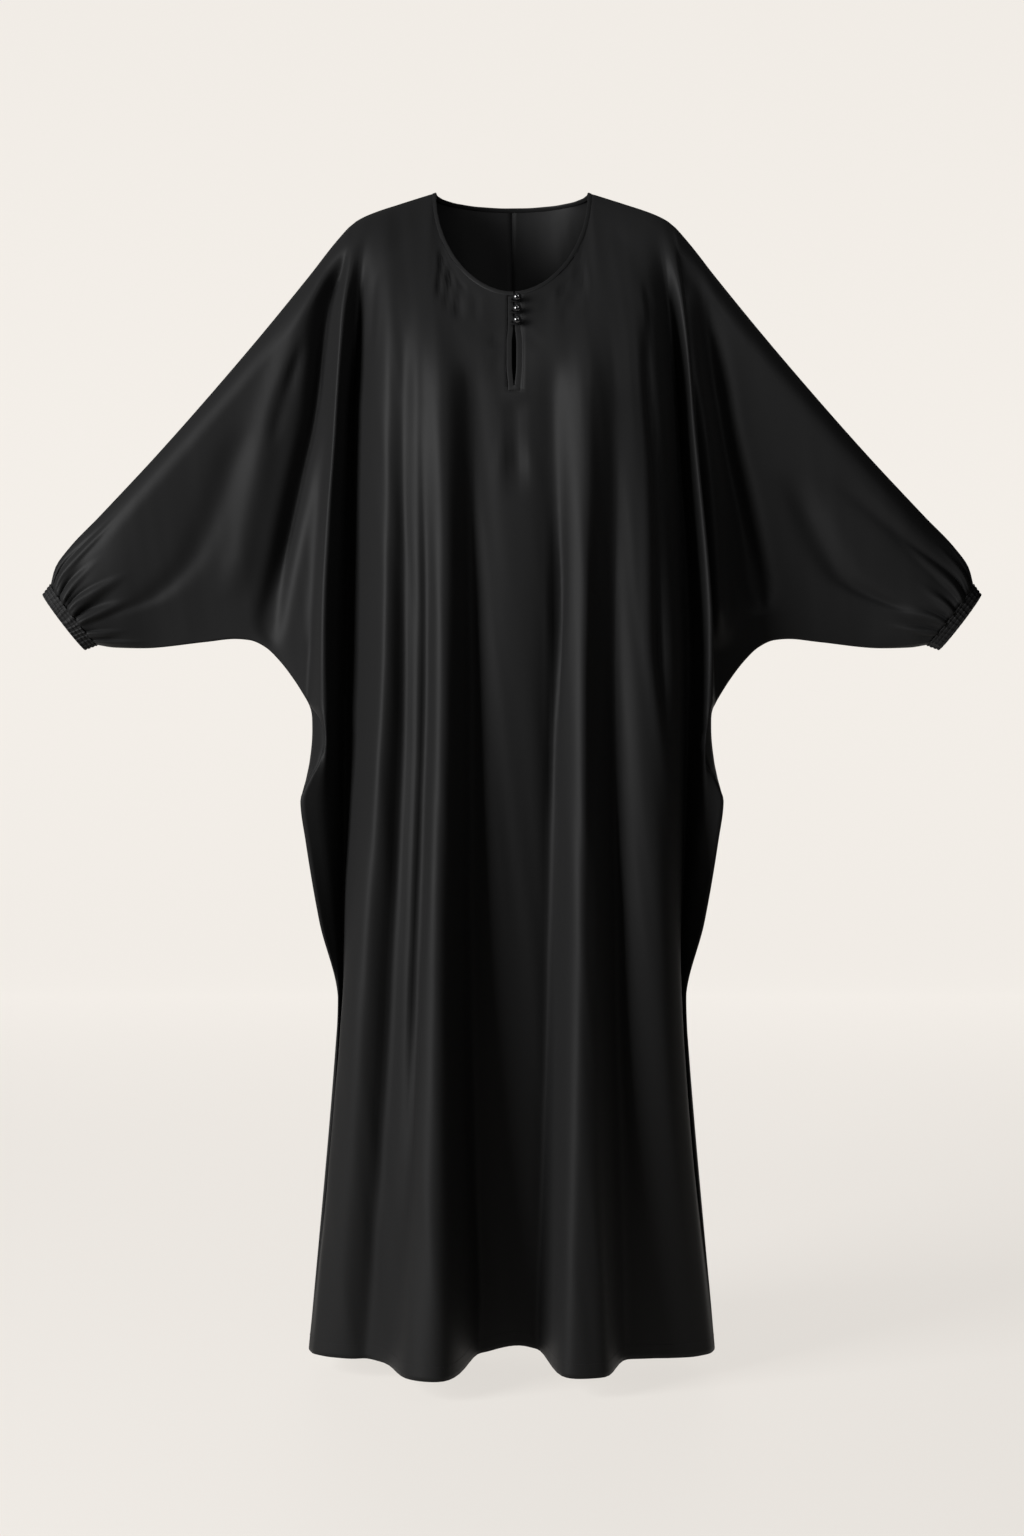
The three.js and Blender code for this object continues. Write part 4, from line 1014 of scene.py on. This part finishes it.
def button(number, material):
    """A ball button on its shank."""
    foot, axes = fastening_frame(number)
    ball_at = SHANK_LENGTH + math.sqrt(BUTTON_RADIUS**2 - SHANK_RADIUS**2)
    angle = np.linspace(math.asin(SHANK_RADIUS / BUTTON_RADIUS), math.pi - 0.03, 22)
    radius = np.concatenate(([SHANK_RADIUS, SHANK_RADIUS * 0.9], BUTTON_RADIUS * np.sin(angle)))
    height = np.concatenate(([0, SHANK_LENGTH * 0.5], ball_at - BUTTON_RADIUS * np.cos(angle)))
    turn = round_circle(36)
    rings = points(
        radius[:, None] * np.cos(turn), height[:, None] * np.ones_like(turn), radius[:, None] * np.sin(turn)
    )
    ball, faces = swept(rings)
    return add_piece(f"button_{number}_fine", [(foot + ball @ axes, faces)], material)


def spline(knots, steps):
    """A smooth path through a few points, by their chord length."""
    knots = np.asarray(knots, float)
    length = measured(knots)
    at = np.linspace(0, length[-1], steps)
    return np.stack([through(length, knots[:, axis], at) for axis in range(3)], axis=-1)


def button_loop(number, material):
    """The twisted cord that comes from the other edge of the slit and goes round the button's shank."""
    foot, axes = fastening_frame(number)
    away = SHANK_RADIUS + LOOP_RADIUS + SEAM_GAP
    end_x = LOOP_END_X - BUTTON_X
    half = [(end_x, LOOP_RADIUS, -0.6 * away), (end_x / 2, LOOP_RADIUS, -0.9 * away), (0, LOOP_RADIUS, -away)]
    round_shank = [
        (away * math.sin(turn), LOOP_RADIUS, -away * math.cos(turn))
        for turn in np.linspace(0, math.pi, 9)[1:-1]
    ]
    other = [(x, y, -z) for x, y, z in reversed(half)]
    path = spline([*half, *round_shank, *other], 64)
    cord, faces = twisted_cord(path)
    return add_piece(f"loop_{number}_fine", [(foot + cord @ axes, faces)], material)


def stitches(name, lines, material):
    """Short raised stitches along lines of points that lie on the cloth, each with its normals."""
    parts_of_length = np.array([0, 0.18, 0.5, 0.82, 1])
    lift = np.array([-0.15, 0.08, 0.16, 0.08, -0.15])
    size = STITCH_RADIUS * np.array([0.35, 0.9, 1, 0.9, 0.35])
    parts = []
    angle = round_circle(6)
    for path, normal in lines:
        measure = measured(path)
        for start in np.arange(STITCH_PITCH / 2, measure[-1] - STITCH_LENGTH, STITCH_PITCH):
            at = start + STITCH_LENGTH * parts_of_length
            middle = np.stack([np.interp(at, measure, path[:, axis]) for axis in range(3)], axis=-1)
            out = np.stack([np.interp(at, measure, normal[:, axis]) for axis in range(3)], axis=-1)
            middle += out * lift[:, None]
            side = unit(np.cross(out, middle[-1] - middle[0]))
            parts.append(swept(circles(middle, size[:, None, None], side, out, angle)))
    return add_piece(name, parts, material)


def node_material(name):
    """A new material, its node tree and its shader."""
    material = bpy.data.materials.new(name)
    material.use_nodes = True
    tree = material.node_tree
    shader = next(node for node in tree.nodes if node.type == "BSDF_PRINCIPLED")
    return material, tree, shader


def add_node(tree, kind, **inputs):
    """A new node with some of its inputs set."""
    node = tree.nodes.new(kind)
    for key, value in inputs.items():
        node.inputs[key].default_value = value
    return node


def add_range(tree, low, high):
    """A Map Range node that goes from low to high."""
    node = add_node(tree, "ShaderNodeMapRange")
    node.inputs["To Min"].default_value = low
    node.inputs["To Max"].default_value = high
    return node


def uneven_shine(tree, shader, low, high, scale, detail):
    """A roughness that wanders between two values over the piece."""
    where = tree.nodes.new("ShaderNodeTexCoord")
    patches = add_node(tree, "ShaderNodeTexNoise", Scale=scale, Detail=detail)
    shine = add_range(tree, low, high)
    tree.links.new(where.outputs["Object"], patches.inputs["Vector"])
    tree.links.new(patches.outputs["Fac"], shine.inputs["Value"])
    tree.links.new(shine.outputs["Result"], shader.inputs["Roughness"])
    return where


def satin(name, base, roughness, weave):
    """Black satin: a soft broad shine, uneven along the cloth, over a very fine weave."""
    material, tree, shader = node_material(name)
    where = uneven_shine(tree, shader, roughness - 0.04, roughness + 0.05, 9.0, 4.0)
    threads = add_node(tree, "ShaderNodeTexNoise", Scale=1400.0, Detail=2.0)
    slubs = add_node(tree, "ShaderNodeTexNoise", Scale=60.0, Detail=3.0)
    relief = add_node(tree, "ShaderNodeMix")
    relief.inputs["Factor"].default_value = 0.35
    bump = add_node(tree, "ShaderNodeBump", Strength=weave, Distance=0.0006)
    link = tree.links.new
    for texture in (threads, slubs):
        link(where.outputs["Object"], texture.inputs["Vector"])
    link(threads.outputs["Fac"], relief.inputs["A"])
    link(slubs.outputs["Fac"], relief.inputs["B"])
    link(relief.outputs["Result"], bump.inputs["Height"])
    link(bump.outputs["Normal"], shader.inputs["Normal"])
    shader.inputs["Base Color"].default_value = (*base, 1)
    shader.inputs["Specular IOR Level"].default_value = 0.065
    shader.inputs["Sheen Weight"].default_value = 0.01
    shader.inputs["Sheen Roughness"].default_value = 0.5
    return material


def polished(name, base, roughness):
    """Glossy black buttons, with a faint unevenness in the shine."""
    material, tree, shader = node_material(name)
    uneven_shine(tree, shader, roughness, roughness + 0.05, 300.0, 2.0)
    shader.inputs["Base Color"].default_value = (*base, 1)
    shader.inputs["Coat Weight"].default_value = 0.4
    shader.inputs["Coat Roughness"].default_value = 0.04
    return material


SATIN = satin("black_satin", (0.0062, 0.0062, 0.0063), 0.56, 0.2)
TRIM = satin("black_binding", (0.0062, 0.0062, 0.0063), 0.52, 0.2)
THREAD = satin("black_thread", (0.011, 0.011, 0.0112), 0.5, 0.1)
GLOSS = polished("black_button", (0.004, 0.004, 0.0045), 0.1)

# The pieces of the garment, each over its solid
front = panel("front_cloth", 0, -1, SATIN)
back_right = panel("back_right_cloth", -1, 1, SATIN)
back_left = panel("back_left_cloth", 1, 1, SATIN)
cuffs = {side: cuff(side, SATIN) for side in (-1, 1)}
binding = neck_binding(TRIM)
slit = slit_binding(TRIM)
sewing = {
    piece: stitches(f"{piece.name}_stitches", sewn_lines[piece.name], THREAD)
    for piece in (front, back_right, back_left)
}
buttons = [button(number, GLOSS) for number in range(1, BUTTON_COUNT + 1)]
loops = [button_loop(number, TRIM) for number in range(1, BUTTON_COUNT + 1)]

stands_for = {
    "cloth": {"front": front, "back_right": back_right, "back_left": back_left},
    "cuff": {"cuff_right": cuffs[-1], "cuff_left": cuffs[1]},
    "binding": {"neck_binding": binding, "slit_binding": slit},
    "button": {f"button_{number}": piece for number, piece in enumerate(buttons, 1)},
    "loop": {f"loop_{number}": piece for number, piece in enumerate(loops, 1)},
}
for slot, pieces in stands_for.items():
    for node, piece in pieces.items():
        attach(piece, "root")
        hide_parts(node)
for piece in sewing.values():
    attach(piece, "root")

# The backdrop and the lights, in metres
FLOOR_Z = -1.428
FLOOR_FROM_Y = -1.1
WALL_Y = 6.5
WALL_TOP = 2.6
BEND_RADIUS = 1.6
BACKDROP_HALF_WIDTH = 2.4
GLOW_FROM_Y = -0.4
FLOOR_GLOW = (0.82, 0.96)

# Each light's place, what it looks at, its size, its power in watts and the angle it spreads over
Light = namedtuple("Light", "place aim size power spread")
LIGHTS = {
    "key": Light((-2.75, -2.1, 0.15), (0, 0, -0.78), (1.6, 1.8), 305, 180),
    "top": Light((-0.4, -1.2, 2.6), (0, 0, -0.4), (2.0, 1.2), 8, 180),
    "neck": Light((0.6, -1.3, 0.4), (-0.02, 0.06, -0.07), (0.3, 0.3), 1.0, 60),
    "wall_right": Light((3.4, 3.9, 0.6), (1.2, WALL_Y, -0.4), (2.5, 2.5), 26, 180),
    "wall_left": Light((-3.4, 3.9, 0.6), (-1.2, WALL_Y, -0.4), (2.5, 2.5), 26, 180),
}


def backdrop():
    """A pale floor that curves up into the wall behind."""
    material, tree, shader = node_material("pale_floor")
    where = uneven_shine(tree, shader, 0.55, 0.6, 0.8, 1.0)
    shader.inputs["Base Color"].default_value = (0.1, 0.097, 0.093, 1)
    shader.inputs["Specular IOR Level"].default_value = 0.05
    shader.inputs["Emission Color"].default_value = (0.862, 0.823, 0.775, 1)
    axes = tree.nodes.new("ShaderNodeSeparateXYZ")
    glow = add_range(tree, *FLOOR_GLOW)
    glow.inputs["From Min"].default_value = GLOW_FROM_Y
    glow.inputs["From Max"].default_value = WALL_Y
    tree.links.new(where.outputs["Object"], axes.inputs["Vector"])
    tree.links.new(axes.outputs["Y"], glow.inputs["Value"])
    tree.links.new(glow.outputs["Result"], shader.inputs["Emission Strength"])
    turn = np.linspace(0, math.pi / 2, 24)[1:]
    bend_y = WALL_Y - BEND_RADIUS
    profile = [(FLOOR_FROM_Y, FLOOR_Z), (bend_y, FLOOR_Z)]
    profile += [(bend_y + BEND_RADIUS * math.sin(a), FLOOR_Z + BEND_RADIUS * (1 - math.cos(a))) for a in turn]
    profile.append((WALL_Y, WALL_TOP))
    places = [(x, y, z) for y, z in profile for x in (-BACKDROP_HALF_WIDTH, BACKDROP_HALF_WIDTH)]
    faces = [(2 * k, 2 * k + 1, 2 * k + 3, 2 * k + 2) for k in range(len(profile) - 1)]
    add_object("backdrop", new_mesh("backdrop", np.array(places), faces), material)


def area_light(name, light):
    """Places one rectangular light."""
    lamp = bpy.data.lights.new(name, "AREA")
    lamp.spread = math.radians(light.spread)
    lamp.shape = "RECTANGLE"
    lamp.size, lamp.size_y = light.size
    lamp.energy = light.power
    holder = bpy.data.objects.new(name, lamp)
    holder.location = light.place
    looking = mathutils.Vector(light.aim) - mathutils.Vector(light.place)
    holder.rotation_euler = looking.to_track_quat("-Z", "Y").to_euler()
    bpy.context.scene.collection.objects.link(holder)


backdrop()
for name, light in LIGHTS.items():
    area_light(name, light)

world = bpy.data.worlds.new("studio")
bpy.context.scene.world = world
world.use_nodes = True
sky = world.node_tree.nodes["Background"]
sky.inputs["Color"].default_value = (1.0, 0.985, 0.96, 1)
sky.inputs["Strength"].default_value = 0.05

# The camera, on the garment's middle line and level, as the photo shows it
camera_data = bpy.data.cameras.new("camera")
camera_data.lens = 57.1
camera_data.sensor_width = 36.0
camera = bpy.data.objects.new("camera", camera_data)
camera.location = (0, -3.0, -0.688)
camera.rotation_euler = (math.pi / 2, 0, 0)
bpy.context.scene.collection.objects.link(camera)
bpy.context.scene.camera = camera
bpy.context.scene.view_settings.view_transform = "Standard"
